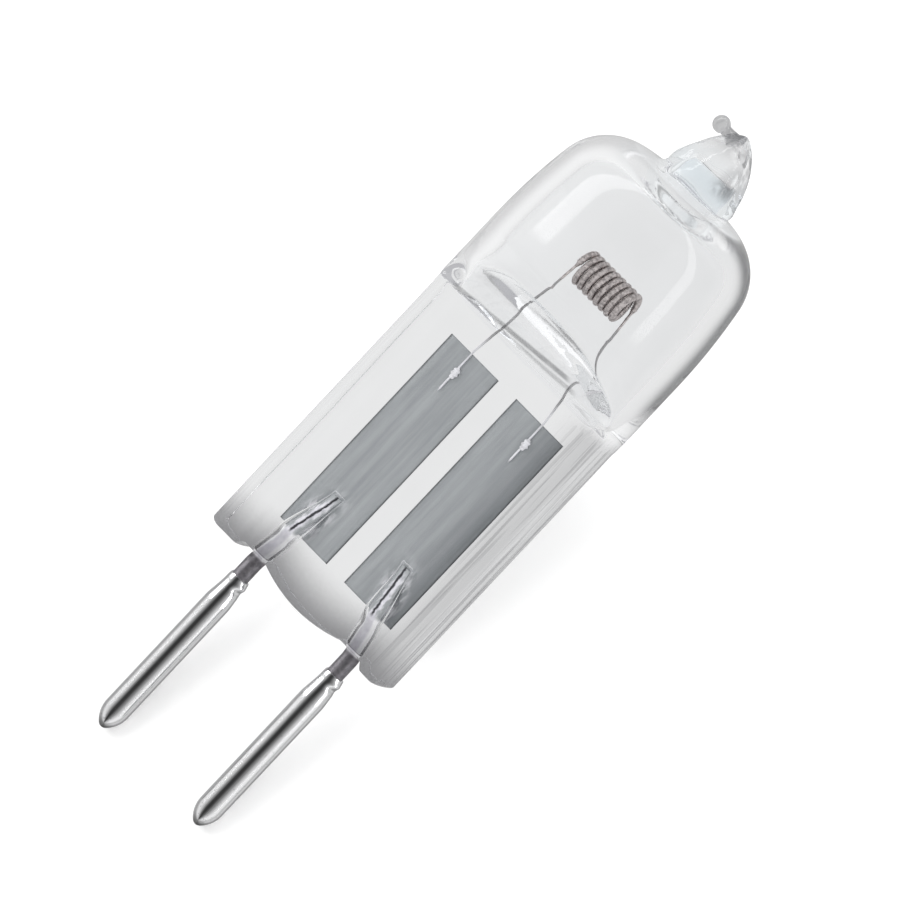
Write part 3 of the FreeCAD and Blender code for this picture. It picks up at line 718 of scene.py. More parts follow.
        # Painted grey shade in patches on the tip, more on its right flank, and on the bead.
        shade_patches = graph.noise(graph.place((2.0, 2.0, 1.0)), 1.1, 3.0).between(0.32, 0.55)
        right_flank_shade = height.between(*self.right_flank_shade_band) * across.between(*self.right_flank_side_band)
        tip_shade_share = height.between(*self.tip_shade_band).most(right_flank_shade) * shade_patches * self.tip_shade
        bead = (-across).between(*self.bead_side_band) * height.between(*self.bead_band)
        return tip_shade_share.most(bead * self.bead_shade)

    def painted_edge_shade(self, graph: Graph, place: Socket) -> Socket:
        """How much painted dark shade the bulb's outer wall has where it is looked along, more on the lamp's
        right.
        The outside is told from the chamber by its distance from the axis, less over the dome.

        Args:
            graph: the material's nodes.
            place: the point on the lamp's axes.

        Returns:
            The share, from 0 to 1.
        """
        flat = graph.place((1.0, 1.0, 0.0))
        radius = graph.node("ShaderNodeVectorMath", {"operation": "LENGTH"}, {0: flat}, "Value")
        across, height = graph.axis(place, 0), graph.axis(place, 2)
        dome = (height - self.dome_start).most(0.0) * self.dome_fall
        outside = (radius + dome).between(*self.outside_band)
        bulb = height.between(*self.bulb_foot_band) * (1.0 - height.between(*self.bulb_top_band))
        facing = graph.node("ShaderNodeLayerWeight", {}, {"Blend": 0.5}, "Facing")
        right = across.between(0.0, 4.0) * 0.7 + 0.25
        return facing.between(*self.grazing_band) * outside * bulb * right


@dataclass(frozen=True)
class Tungsten(Finish):
    """Drawn tungsten wire: warm grey, with dull die lines and brighter patches. Inside the pinch it is
    painted pale and not metallic, a painted glint for the gap round it, and at the welds it has patches of
    painted glint."""

    name: str = "drawn_tungsten"
    slot: str = "tungsten"
    dark: Colour = (0.34, 0.31, 0.305)
    bright: Colour = (0.62, 0.57, 0.555)
    leg_colour: Colour = (0.36, 0.355, 0.36)
    # Painted glint inside the pinch, and in patches at the welds.
    sealed_glint_colour: Colour = (0.5, 0.5, 0.52)
    weld_glint_colour: Colour = (0.66, 0.66, 0.69)
    leg_top_band: Band = (18.4, 18.8)
    sealed_top_band: Band = (13.6, 14.8)
    weld_top_band: Band = (12.4, 13.2)

    def shade(self, graph: Graph) -> Socket:
        """Mixes two greys by noise and roughens the darker one. The height picks the legs, the painted glint
        inside the pinch and the painted glint patches at the welds.
        """
        place = graph.place()
        mottle = graph.noise(place, 6.0, 3.0).between(0.35, 0.65)
        colour = graph.blend(mottle, self.dark, self.bright)
        height = graph.axis(place, 2)
        leg = 1.0 - height.between(*self.leg_top_band)
        colour = graph.blend(leg, colour, self.leg_colour)
        # Painted glint: inside the pinch the wire is pale and not metallic.
        sealed = 1.0 - height.between(*self.sealed_top_band)
        colour = graph.blend(sealed, colour, self.sealed_glint_colour)
        # Painted glint in patches at the welds.
        patches = graph.noise(place, 3.0, 2.0).between(0.35, 0.55)
        weld_glint = (1.0 - height.between(*self.weld_top_band)) * patches
        colour = graph.blend(weld_glint, colour, self.weld_glint_colour)
        lines = graph.noise(graph.place((9.0, 9.0, 9.0)), 2.0, 2.0)
        return principled(graph, {
            "Base Color": colour,
            "Metallic": 1.0 - sealed,
            "Roughness": 0.42 - mottle * 0.12,
            "Normal": graph.bump(lines, 0.006),
        })


@dataclass(frozen=True)
class Foil(Finish):
    """Rolled molybdenum foil: mid grey with rolling streaks along it and darker at its edges, with painted
    shade towards the lamp's right, painted highlights and painted shade where it is crumpled round the lead's
    end, and painted pale where the glass mirrors it."""

    name: str = "rolled_foil"
    slot: str = "foil"
    dark: Colour = (0.27, 0.285, 0.297)
    bright: Colour = (0.375, 0.39, 0.402)
    # Painted shade towards the lamp's right.
    right_shade_colour: Colour = (0.13, 0.14, 0.15)
    edge_colour: Colour = (0.1, 0.105, 0.11)
    # Painted highlights on the crumples and painted shade in their hollows.
    fold_highlight_colour: Colour = (0.9, 0.89, 0.93)
    hollow_shade_colour: Colour = (0.12, 0.11, 0.13)
    # Painted pale in what the glass mirrors.
    painted_reflection_colour: Colour = (0.86, 0.87, 0.88)
    right_shade_band: Band = (-0.4, 1.7)
    edge_band: Band = (1.4, 1.56)
    crumple_side_band: Band = (0.25, 0.95)
    crumple_top_band: Band = (3.0, 5.2)

    def shade(self, graph: Graph) -> Socket:
        """Streaks are a noise drawn out along the lamp. Painted highlights and painted shade in the crumples
        are noises near the lead.
        """
        streaks = graph.noise(graph.place((2.6, 1.0, 0.16)), 1.0, 4.0, 0.6).between(0.2, 0.8)
        colour = graph.blend(streaks, self.dark, self.bright)
        from_right = graph.axis(graph.place(), 0) - BASE_OFFSET - FOIL_SPACING / 2
        # Painted shade towards the lamp's right.
        colour = graph.blend(from_right.between(*self.right_shade_band) * 0.65, colour, self.right_shade_colour)
        from_middle = from_right.size().least((from_right + FOIL_SPACING).size())
        colour = graph.blend(from_middle.between(*self.edge_band) * 0.5, colour, self.edge_colour)
        away, height = beside_lead(graph)
        near = 1.0 - away.size().between(*self.crumple_side_band)
        crumpled = near * (1.0 - height.between(*self.crumple_top_band))
        # Painted highlights and painted shade in the crumples near the lead.
        fold_highlights = graph.noise(graph.place((3.2, 1.0, 1.1)), 1.0, 3.0, 0.6).between(0.42, 0.6)
        hollows = graph.noise(graph.place((2.4, 1.0, 0.8)), 1.3, 2.0).between(0.55, 0.7)
        colour = graph.blend(crumpled * fold_highlights * 0.85, colour, self.fold_highlight_colour)
        colour = graph.blend(crumpled * hollows * 0.6, colour, self.hollow_shade_colour)
        # Painted pale where the glass mirrors the foil.
        mirrored = graph.light_path("Glossy Depth").between(0.3, 0.7)
        colour = graph.blend(mirrored * 0.75, colour, self.painted_reflection_colour)
        grain = graph.noise(graph.place((14.0, 6.0, 1.2)), 1.0, 3.0)
        return principled(graph, {
            "Base Color": colour,
            "Metallic": 0.5,
            "Roughness": 0.34 + streaks * 0.1,
            "Normal": graph.bump(grain, 0.012),
        })


def beside_lead(graph: Graph) -> tuple[Socket, Socket]:
    """How far a point lies outwards of the nearer lead's leaning axis, and its height.

    Args:
        graph: the material's nodes.

    Returns:
        The signed distance across the lamp and the height, in millimetres.
    """
    place = graph.place()
    height = graph.axis(place, 2)
    lean = math.tan(math.radians(LEAD_LEAN))
    axis = PIN_SPACING / 2 - (height + LEAD_BEND_DEPTH).most(0.0) * lean
    return (graph.axis(place, 0) - BASE_OFFSET).size() - axis, height


@dataclass(frozen=True)
class LeadWire(Finish):
    """The outer leads: dull grey outside the glass. Inside it they are painted pale, with painted highlights
    on their flanks, for the glint of the gap round them. On the foil they have a painted dark shade line
    along their middle, and they go over to the foil's grey at a frayed edge and at the end."""

    name: str = "outer_lead_wire"
    slot: str = "lead_wire"
    dull: tuple[Colour, Colour] = ((0.12, 0.115, 0.125), (0.2, 0.19, 0.205))
    # Painted pale inside the glass, with painted highlights on the flanks, for the glint of the gap.
    pale: tuple[Colour, Colour] = ((0.60, 0.59, 0.64), (0.72, 0.71, 0.75))
    flank_highlight_colour: Colour = (0.95, 0.95, 0.96)
    frayed_colour: Colour = (0.33, 0.345, 0.355)
    # Painted dark shade line along the lead on the foil.
    crease_colour: Colour = (0.02, 0.02, 0.025)
    glass_band: Band = (-0.2, 0.05)
    foil_band: Band = (1.7, 2.0)
    end_band: Band = (3.6, 4.4)
    flank_highlight_band: Band = (0.16, 0.3)
    frayed_band: Band = (0.36, 0.5)
    crease_band: Band = (0.03, 0.1)

    def shade(self, graph: Graph) -> Socket:
        """The height along the lamp and the distance from the wire's axis pick the finish."""
        away, height = beside_lead(graph)
        inside = height.between(*self.glass_band)
        on_foil = height.between(*self.foil_band)
        mottle = graph.noise(graph.place(), 5.0, 4.0).between(0.3, 0.7)
        dull = graph.blend(mottle, *self.dull)
        # Painted pale inside the glass, with painted highlights on the flanks.
        pale = graph.blend(mottle, *self.pale)
        pale = graph.blend(away.size().between(*self.flank_highlight_band), pale, self.flank_highlight_colour)
        rough = graph.noise(graph.place((3.0, 1.0, 1.5)), 1.6, 3.0)
        frayed = (away.size() + rough * 0.5).between(*self.frayed_band) * on_foil
        pale = graph.blend(frayed, pale, self.frayed_colour)
        pale = graph.blend(height.between(*self.end_band), pale, self.frayed_colour)
        # Painted dark shade line along the lead's middle on the foil.
        crease = (1.0 - (away + mottle * 0.05).size().between(*self.crease_band)) * on_foil
        pale = graph.blend(crease, pale, self.crease_colour)
        return principled(graph, {
            "Base Color": graph.blend(inside, dull, pale),
            "Metallic": 0.7 - inside * 0.5,
            "Roughness": 0.5 - on_foil * 0.15,
            "Normal": graph.bump(graph.noise(graph.place((7.0, 7.0, 1.0)), 1.5, 3.0), 0.01),
        })


@dataclass(frozen=True)
class Plating(Finish):
    """Bright nickel plating on the pins, with faint drawing lines and dull specks, darker at the end of the
    nose.
    """

    name: str = "bright_plating"
    slot: str = "pin_plating"
    bright: Colour = (0.80, 0.80, 0.81)
    speck_colour: Colour = (0.62, 0.62, 0.63)
    dark_nose_colour: Colour = (0.2, 0.2, 0.2)
    dark_nose_band: Band = (-10.66, -10.1)

    def shade(self, graph: Graph) -> Socket:
        """Fine lines along the pin vary the roughness and the normal."""
        lines = graph.noise(graph.place((16.0, 16.0, 0.5)), 1.0, 3.0).between(0.2, 0.8)
        specks = graph.noise(graph.place(), 9.0, 3.0).between(0.58, 0.72)
        colour = graph.blend(specks, self.bright, self.speck_colour)
        # The nose is darker towards its end.
        dark_nose = 1.0 - graph.axis(graph.place(), 2).between(*self.dark_nose_band)
        colour = graph.blend(dark_nose, colour, self.dark_nose_colour)
        return principled(graph, {
            "Base Color": colour,
            "Metallic": 1.0,
            "Roughness": 0.09 + lines * 0.06 + specks * 0.1,
            "Normal": graph.bump(lines, 0.0008),
        })


# Sub-assemblies

@dataclass(frozen=True)
class Envelope:
    """The quartz: a tube that is domed and sealed off at the top and pressed flat at the bottom."""

    # Bulb and chamber
    bulb_radius: float = 5.63
    wall: float = 1.1
    side_height: float = 4.4
    side_taper: float = 0.34
    dome_radius: float = 2.83
    crown_angle: float = 6.0
    floor_rise: float = 0.08
    floor_corner: float = 0.9
    # Shoulder between bulb and pinch
    shoulder_angle: float = 62.0
    shoulder_crest: float = 2.2
    shoulder_foot: float = 0.5
    shoulder_power: float = 7.0
    bulb_blend: float = 2.0
    # Pinch
    pinch_half_width: float = 5.64
    pinch_half_thickness: float = 1.25
    pinch_height: float = 14.62
    corner_power: float = 9.0
    bottom_round: float = 0.1
    panel_depth: float = 0.06
    panel_half_width: float = 4.5
    panel_slope: float = 0.5
    panel_top: float = 14.38
    panel_top_slope: float = 0.2
    panel_swell: float = 0.012
    notch_half_width: float = 0.65
    side_lobe_corner: float = 0.6
    side_lobe_slope: float = 0.4
    lobe_fade: float = 3.0
    side_ridges: tuple = (-0.9, -0.5, -0.1, 0.35, 0.8)
    side_ridge_height: float = 0.03
    side_ridge_width: float = 0.09
    # Sealed tip and its bore
    tip_offset: float = 0.28
    tip_radius: float = 1.97
    tip_height: float = 3.25
    tip_start: float = 0.16
    tip_powers: tuple = (1.6, 1.4)
    tip_foot_round: float = 0.5
    slow_facet: float = 0.045
    fine_facet: float = 0.035
    bore_radius: float = 1.6
    bore_taper: float = 0.55
    bore_height: float = 1.3
    bore_round: float = 0.35
    # Spacing and number of points
    tip_spacing: float = 0.07
    wall_spacing: float = 0.13
    chamber_spacing: float = 0.11
    columns: int = 240
    inner_columns: int = 184

    @property
    def shoulder_top(self) -> float:
        """The height at which the bulb is round again."""
        angle = math.radians(self.shoulder_angle)
        bends = self.shoulder_crest + self.shoulder_foot
        run = self.bulb_radius - self.pinch_half_thickness - bends * (1 - math.cos(angle))
        return self.pinch_height + bends * math.sin(angle) + run / math.tan(angle)

    def dome_line(self, inset: float) -> Array:
        """The side, dome and crown as three arcs that meet with one tangent, moved inwards by inset.

        Args:
            inset: how far inwards.

        Returns:
            Radius and height of its points, from the shoulder to the axis.
        """
        side = (self.side_height ** 2 + self.side_taper ** 2) / (2 * self.side_taper)
        side_angle = math.degrees(math.asin(self.side_height / side))
        turn = math.radians(side_angle)
        dome_x = self.bulb_radius - self.side_taper - self.dome_radius * math.cos(turn)
        dome_z = self.shoulder_top + self.side_height - self.dome_radius * math.sin(turn)
        crown = math.radians(self.crown_angle)
        crown_radius = (dome_x + self.dome_radius * math.sin(crown)) / math.sin(crown)
        crown_z = dome_z + (self.dome_radius - crown_radius) * math.cos(crown)
        arcs = [
            arc((self.bulb_radius - side, self.shoulder_top), side - inset, 0.0, side_angle, 60),
            arc((dome_x, dome_z), self.dome_radius - inset, side_angle, 90 - self.crown_angle, 80),
            arc((0.0, crown_z), crown_radius - inset, 90 - self.crown_angle, 90.0, 60),
        ]
        return np.concatenate([arcs[0], arcs[1][1:], arcs[2][1:]])

    @property
    def dome_top(self) -> float:
        """The height of the dome on its axis, without the tip."""
        return float(self.dome_line(0.0)[-1, 1])

    def tip_line(self) -> Array:
        """The tip's flank: its radius is the base radius times (1 - share^p)^(1/q) of its height.

        Returns:
            Radius and height of its points, from the crown up.
        """
        share = 1 - np.linspace(1, 0, 90) ** 1.6
        power, root = self.tip_powers
        radius = self.tip_radius * np.clip(1 - share ** power, 0, 1) ** (1 / root)
        height = self.dome_top + self.tip_start + self.tip_height * share
        return np.stack([radius, height], axis=1)

    def outer_line(self) -> Array:
        """The outline from the shoulder over the dome to the top of the tip, its foot rounded.

        Returns:
            Radius and height of its points.
        """
        dome = self.dome_line(0.0)
        foot = (self.tip_radius, float(np.interp(self.tip_radius, dome[::-1, 0], dome[::-1, 1])))
        dome = dome[dome[:, 0] > self.tip_radius]
        line = np.concatenate([dome, [foot], self.tip_line()])
        even = resample(line, lambda point: np.full(len(point), 0.03))
        rounded = soften(even, foot, self.tip_foot_round, 60)
        rounded[-1, 0] = 0.0
        crown = self.dome_top - 0.1
        return resample(
            rounded, lambda point: np.where(point[:, 1] > crown, self.tip_spacing, self.wall_spacing))

    def press_line(self, inset: float) -> Array:
        """How far the press leaves the wall from the middle plane, for each height: an arc at the foot, a
        slope, an arc at the crest, and then so far out that it presses nothing.

        Args:
            inset: how far the line is moved inwards.

        Returns:
            Height and distance of its points.
        """
        angle = self.shoulder_angle
        crest = self.shoulder_crest - inset
        foot = self.shoulder_foot + inset
        foot_y = self.pinch_half_thickness + self.shoulder_foot
        crest_y = self.bulb_radius - self.shoulder_crest
        foot_arc = arc((self.pinch_height, foot_y), foot, -90.0, -90.0 + angle, 40)
        crest_arc = arc((self.shoulder_top, crest_y), crest, 90.0 + angle, 92.0, 60)
        beyond = [[self.shoulder_top + 2.5, self.bulb_radius * 3.0]]
        below = [[-5.0, foot_y - foot]]
        return np.concatenate([below, foot_arc, crest_arc, beyond])

    def base_line(self, x: Array) -> Array:
        """The height of the pinch's lobed bottom edge: a rounded lobe each side, a notch at each lead and a
        bowed middle.

        Args:
            x: where across the lamp.

        Returns:
            The height at each x.
        """
        local = x - BASE_OFFSET
        inner = PIN_SPACING / 2 - self.notch_half_width
        bow = -MIDDLE_LOBE_DROP * np.clip(1 - (local / inner) ** 2, 0, 1)
        outer = PIN_SPACING / 2 + self.notch_half_width
        lobe = -SIDE_LOBE_DROP * step(np.abs(local), outer, outer + self.side_lobe_slope)
        reach = np.abs(x) - (self.pinch_half_width - self.side_lobe_corner)
        share = np.clip(reach / self.side_lobe_corner, 0, 0.999)
        corner = self.side_lobe_corner * (1 - np.sqrt(1 - share ** 2))
        return bow + lobe + corner

    def pressed(self, y: Array, limit: Array, power: Array) -> Array:
        """Presses a wall flat: y divided by the p-th root of 1 + (y / limit)^p, so that it follows y while y
        is small and stays at the limit beyond it.

        Args:
            y: the distance from the middle plane before pressing.
            limit: how far the jaw is from the middle plane.
            power: p, and the larger it is, the sharper the turn.

        Returns:
            The pressed distance.
        """
        return y / (1 + np.abs(y / limit) ** power) ** (1 / power)

    def outer_rows(self) -> tuple[Array, Array, Array]:
        """The heights of the outside's rows, the radius of each before it is pressed, and how far it has
        gone over from the pinch to the bulb, from 0 to 1.

        Returns:
            The heights, the radii and the shares.
        """
        dome = self.outer_line()
        flat = np.concatenate([
            np.linspace(0.0, self.panel_top - 0.3, 44),
            np.linspace(self.panel_top - 0.24, self.shoulder_top - 0.05, 58),
        ])
        heights = np.concatenate([flat, dome[:, 1]])
        radii = np.concatenate([np.full(len(flat), self.pinch_half_width), dome[:, 0]])
        to_bulb = step(heights, self.pinch_height, self.pinch_height + self.bulb_blend)
        below = heights < self.shoulder_top
        radii[below] += (self.bulb_radius - self.pinch_half_width) * to_bulb[below]
        return heights, radii, to_bulb

    def outer_skin(self) -> Array:
        """The outside of the quartz. A circle of the outline's radius is pressed between the two jaws, whose
        distance is the press line, less a panel on each face. Below, the section closes as half an ellipse.

        Returns:
            The grid of points.
        """
        angle = np.linspace(0, 2 * np.pi, self.columns, endpoint=False)
        heights, radii, to_bulb = self.outer_rows()
        level = heights[:, None]
        radius = radii[:, None] * (1 + self.facets(angle, level))
        x = radius * np.cos(angle)
        y = radius * np.sin(angle)
        press = self.press_line(0.0)
        limit = np.interp(heights, press[:, 0], press[:, 1])[:, None]
        in_panel = step(-np.abs(x), -self.panel_half_width - self.panel_slope, -self.panel_half_width)
        low = 1 - step(level, self.panel_top, self.panel_top + self.panel_top_slope)
        swell = self.panel_swell * np.sin(x * 1.3 + 0.5) * np.sin(level * 0.7)
        limit = limit + (swell - self.panel_depth * in_panel) * low
        power = self.corner_power + (self.shoulder_power - self.corner_power) * to_bulb[:, None]
        y = self.pressed(y, limit, power)
        x = x + self.ridges(x, y) * low
        z = level + self.base_line(x) * (1 - step(level, 0.0, self.lobe_fade))
        lean = self.tip_offset * step(level, self.dome_top - 0.3, self.dome_top + 0.35)
        body = np.stack([x + lean, y, z], axis=-1)
        return np.concatenate([self.bottom_rows(body[0]), body[1:]])

    def facets(self, angle: Array, height: Array) -> Array:
        """The flats that the flame leaves on the tip: sines of three and seven times the angle, which turn
        slowly with the height and start above the crown.

        Args:
            angle: round the tip's axis.
            height: along the lamp.

        Returns:
            The share by which the radius grows.
        """
        worked = step(height, self.dome_top + 0.2, self.dome_top + 1.0)
        slow = self.slow_facet * np.sin(3 * angle + 0.6 + 0.4 * height)
        fine = self.fine_facet * np.sin(7 * angle - 0.9 * height)
        return worked * (slow + fine)

    def ridges(self, x: Array, y: Array) -> Array:
        """Fine ridges that the jaws leave along the narrow sides: a bell curve of y about each ridge.

        Args:
            x: across the lamp.
            y: through the pinch.

        Returns:
            How far outwards the side moves.
        """
        height = sum(np.exp(-((y - place) / self.side_ridge_width) ** 2) for place in self.side_ridges)
        near = step(np.abs(x), self.pinch_half_width - 0.5, self.pinch_half_width - 0.1)
        return np.sign(x) * near * (height - 1.0) * self.side_ridge_height

    def bottom_rows(self, row: Array) -> Array:
        """Closes the bottom: y shrinks by the cosine of an angle and z drops by its sine, while x and z go
        over to the mean of both faces, so that the two halves meet.

        Args:
            row: the lowest full section.

        Returns:
            Rows from the closed edge up to that section, which is lifted by the rounding.
        """
        angle = np.radians(np.linspace(90, 0, 18))[:, None]
        other_face = -np.arange(len(row)) % len(row)
        even = (row + row[other_face]) / 2
        share = np.sin(angle)
        x = row[:, 0] + (even[:, 0] - row[:, 0]) * share
        y = row[:, 1] * np.cos(angle)
        z = row[:, 2] + (even[:, 2] - row[:, 2]) * share + self.bottom_round * (1 - share)
        return np.stack([x, y, z], axis=-1)

    def chamber_skin(self) -> Array:
        """The gas chamber with the blind bore of the tip: a turned outline pressed flat at its floor.

        Returns:
            The grid of points, with its faces outwards.
        """
        floor = self.pinch_height + self.floor_rise
        radius = self.bulb_radius - self.wall
        corner = self.floor_corner
        dome = self.dome_line(self.wall)
        keep = dome[dome[:, 0] > self.bore_radius]
        bore_foot = float(np.interp(self.bore_radius, dome[::-1, 0], dome[::-1, 1]))
        top = self.dome_top + self.bore_height
        top_radius = self.bore_radius - self.bore_taper
        line = np.concatenate([
            [[0.0, floor]],
            arc((radius - corner, floor + corner), corner, -90.0, 0.0, 24),
            keep,
            [[self.bore_radius, bore_foot], [top_radius, top], [0.0, top]],
        ])
        even = resample(line, lambda point: np.full(len(point), 0.025))
        for place in ((self.bore_radius, bore_foot), (top_radius, top)):
            even = soften(even, place, self.bore_round, 40)
        even[0, 0] = even[-1, 0] = 0.0
        even = resample(even, lambda point: np.full(len(point), self.chamber_spacing))
        grid = turned(even, self.inner_columns)
        height = grid[..., 2]
        press = self.press_line(self.wall)
        limit = np.interp(height, press[:, 0], press[:, 1])
        grid[..., 0] += self.tip_offset * step(height, self.dome_top - 1.2, self.dome_top + 0.2)
        grid[..., 1] = self.pressed(grid[..., 1], limit, self.shoulder_power)
        return grid


@dataclass(frozen=True)
class Nub:
    """The bead that is left where the tip was pulled off."""

    radius: float = 0.42
    neck: float = 0.25
    root_flare: float = 0.25
    centre: tuple = (-1.02, 0.0, 28.5)
    root: tuple = (0.15, 0.0, 28.3)

    def skin(self) -> Array:
        """A drop along the line from its root to its bead: the neck's radius plus a square that flares it
        towards the root, then a half circle.

        Returns:
            The grid of points.
        """
        root = np.asarray(self.root)
        centre = np.asarray(self.centre)
        length = float(np.linalg.norm(centre - root))
        along = np.linspace(0, 1, 40) * (length + self.radius)
        ball = np.sqrt(np.clip(self.radius ** 2 - (along - length) ** 2, 0, None))
        stem = self.neck + self.root_flare * (1 - np.clip(along / length, 0, 1)) ** 2
        radius = np.maximum(ball, stem * (along < length))
        radius[0] = radius[-1] = 0.0
        route = root + (centre - root) / length * along[:, None]
        return tube(route, radius, 32)


@dataclass(frozen=True)
class Seal:
    """The foils, the outer leads and the hollows that the leads leave in the quartz."""

    foil_width: float = 3.12
    foil_length: float = 11.38
    foil_base: float = 1.88
    foil_thickness: float = 0.05
    lead_radius: float = 0.425
    lead_gap: float = 0.15
    lead_on_foil: float = 2.5
    lead_end_thickness: float = 0.12
    lead_foot: float = -5.0
    hollow_foot: float = 0.12
    crumple_height: float = 0.07
    crumple_reach: float = 0.8

    def pin_x(self, side: Side) -> float:
        """Where a pin's axis crosses the lamp's X axis."""
        return BASE_OFFSET + side.value * PIN_SPACING / 2

    def foil_x(self, side: Side) -> float:
        """The middle of a foil."""
        return BASE_OFFSET + side.value * FOIL_SPACING / 2

    def lead_x(self, side: Side, height: Array) -> Array:
        """The leaning axis of a lead at a height, straight below its bend."""
        run = np.clip(height + LEAD_BEND_DEPTH, 0, None)
        return self.pin_x(side) - side.value * run * math.tan(math.radians(LEAD_LEAN))

    def lead_section(self, height: Array) -> tuple[Array, Array, Array]:
        """A lead's section: it moves to the front of the foil by a smooth step, and narrows and flattens
        along it by another.

        Args:
            height: where along the lamp.

        Returns:
            Its middle's Y, its half width, and its thickness as a share of its width.
        """
        thin = step(height, self.foil_base - 0.2, self.foil_base + self.lead_on_foil)
        flat = 1 - (1 - self.lead_end_thickness / self.lead_radius) * thin
        forward = step(height, self.foil_base - 0.9, self.foil_base)
        y = -self.foil_thickness - self.lead_radius * flat * forward
        return y, self.lead_radius * (1 - 0.4 * thin), flat

    def foil_skin(self, side: Side) -> Array:
        """A foil: a flat ellipse-edged section whose middle is crumpled over the lead's end, by waves that
        fade upwards.

        Args:
            side: which foil.

        Returns:
            The grid of points.
        """
        rows, half = 150, 28
        share = np.linspace(0, 1, rows)
        height = self.foil_base + self.foil_length * share
        across = np.concatenate([np.linspace(-1, 1, half), np.linspace(1, -1, half)[1:-1]])
        face = np.concatenate([-np.ones(half), np.ones(half - 2)])
        thick = self.foil_thickness / 2 * np.clip(1 - np.abs(across) ** 8, 0.02, 1) * face
        x = np.broadcast_to(self.foil_x(side) + across * self.foil_width / 2, (rows, len(across)))
        fade = 1 - step(height, self.foil_base + 1.2, self.foil_base + 3.4)
        away = x - self.lead_x(side, height)[:, None]
        waves = np.sin(away * 5.0 + height[:, None] * 2.3) * self.crumple_height
        y = thick + waves * np.exp(-(away / self.crumple_reach) ** 2) * fade[:, None]
        return np.stack([x, y, np.broadcast_to(height[:, None], x.shape)], axis=-1)

    def lead_skin(self, side: Side) -> Array:
        """A lead: a round wire that bends inwards and is pressed to a thin end on the foil.

        Args:
            side: which lead.

        Returns:
            The grid of points.
        """
        top = self.foil_base + self.lead_on_foil
        height = np.linspace(self.lead_foot, top, 120)
        x = self.lead_x(side, height)
        x[2:-2] = np.convolve(x, np.ones(5) / 5, "valid")
        y, radius, flat = self.lead_section(height)
        return self.flat_tube(np.stack([x, y, height], axis=1), radius, flat)

    def flat_tube(self, route: Array, radius: Array, flat: Array) -> Array:
        """Round sections across Z, each squeezed along Y, closed by a pole at both ends.

        Args:
            route: the middle of each section.
            radius: its half width.
            flat: its thickness as a share of its width.

        Returns:
            The grid of points.
        """
        route = np.concatenate([route[:1], route, route[-1:]])
        radius = np.concatenate([[0.0], radius, [0.0]])
        flat = np.concatenate([flat[:1], flat, flat[-1:]])
        angle = np.linspace(0, 2 * np.pi, 40, endpoint=False)
        x = route[:, :1] + radius[:, None] * np.cos(angle)
        y = route[:, 1:2] + radius[:, None] * flat[:, None] * np.sin(angle)
        return np.stack([x, y, np.broadcast_to(route[:, 2:], x.shape)], axis=-1)

    def hollow_skin(self, side: Side) -> Array:
        """The air gap round a lead inside the quartz, the lead's own section made larger by the gap and
        closed at both ends.

        Args:
            side: which lead.

        Returns:
            The grid of points.
        """
        top = self.foil_base + self.lead_on_foil + self.lead_gap
        height = np.linspace(self.hollow_foot, top, 70)
        y, radius, flat = self.lead_section(height)
        gap = self.lead_gap * (1 - 0.5 * step(height, self.foil_base, top))
        flat = (radius * flat + gap * 0.7) / (radius + gap)
        radius = radius + gap
        route = np.stack([self.lead_x(side, height), y, height], axis=1)
        return self.flat_tube(route, radius, flat)


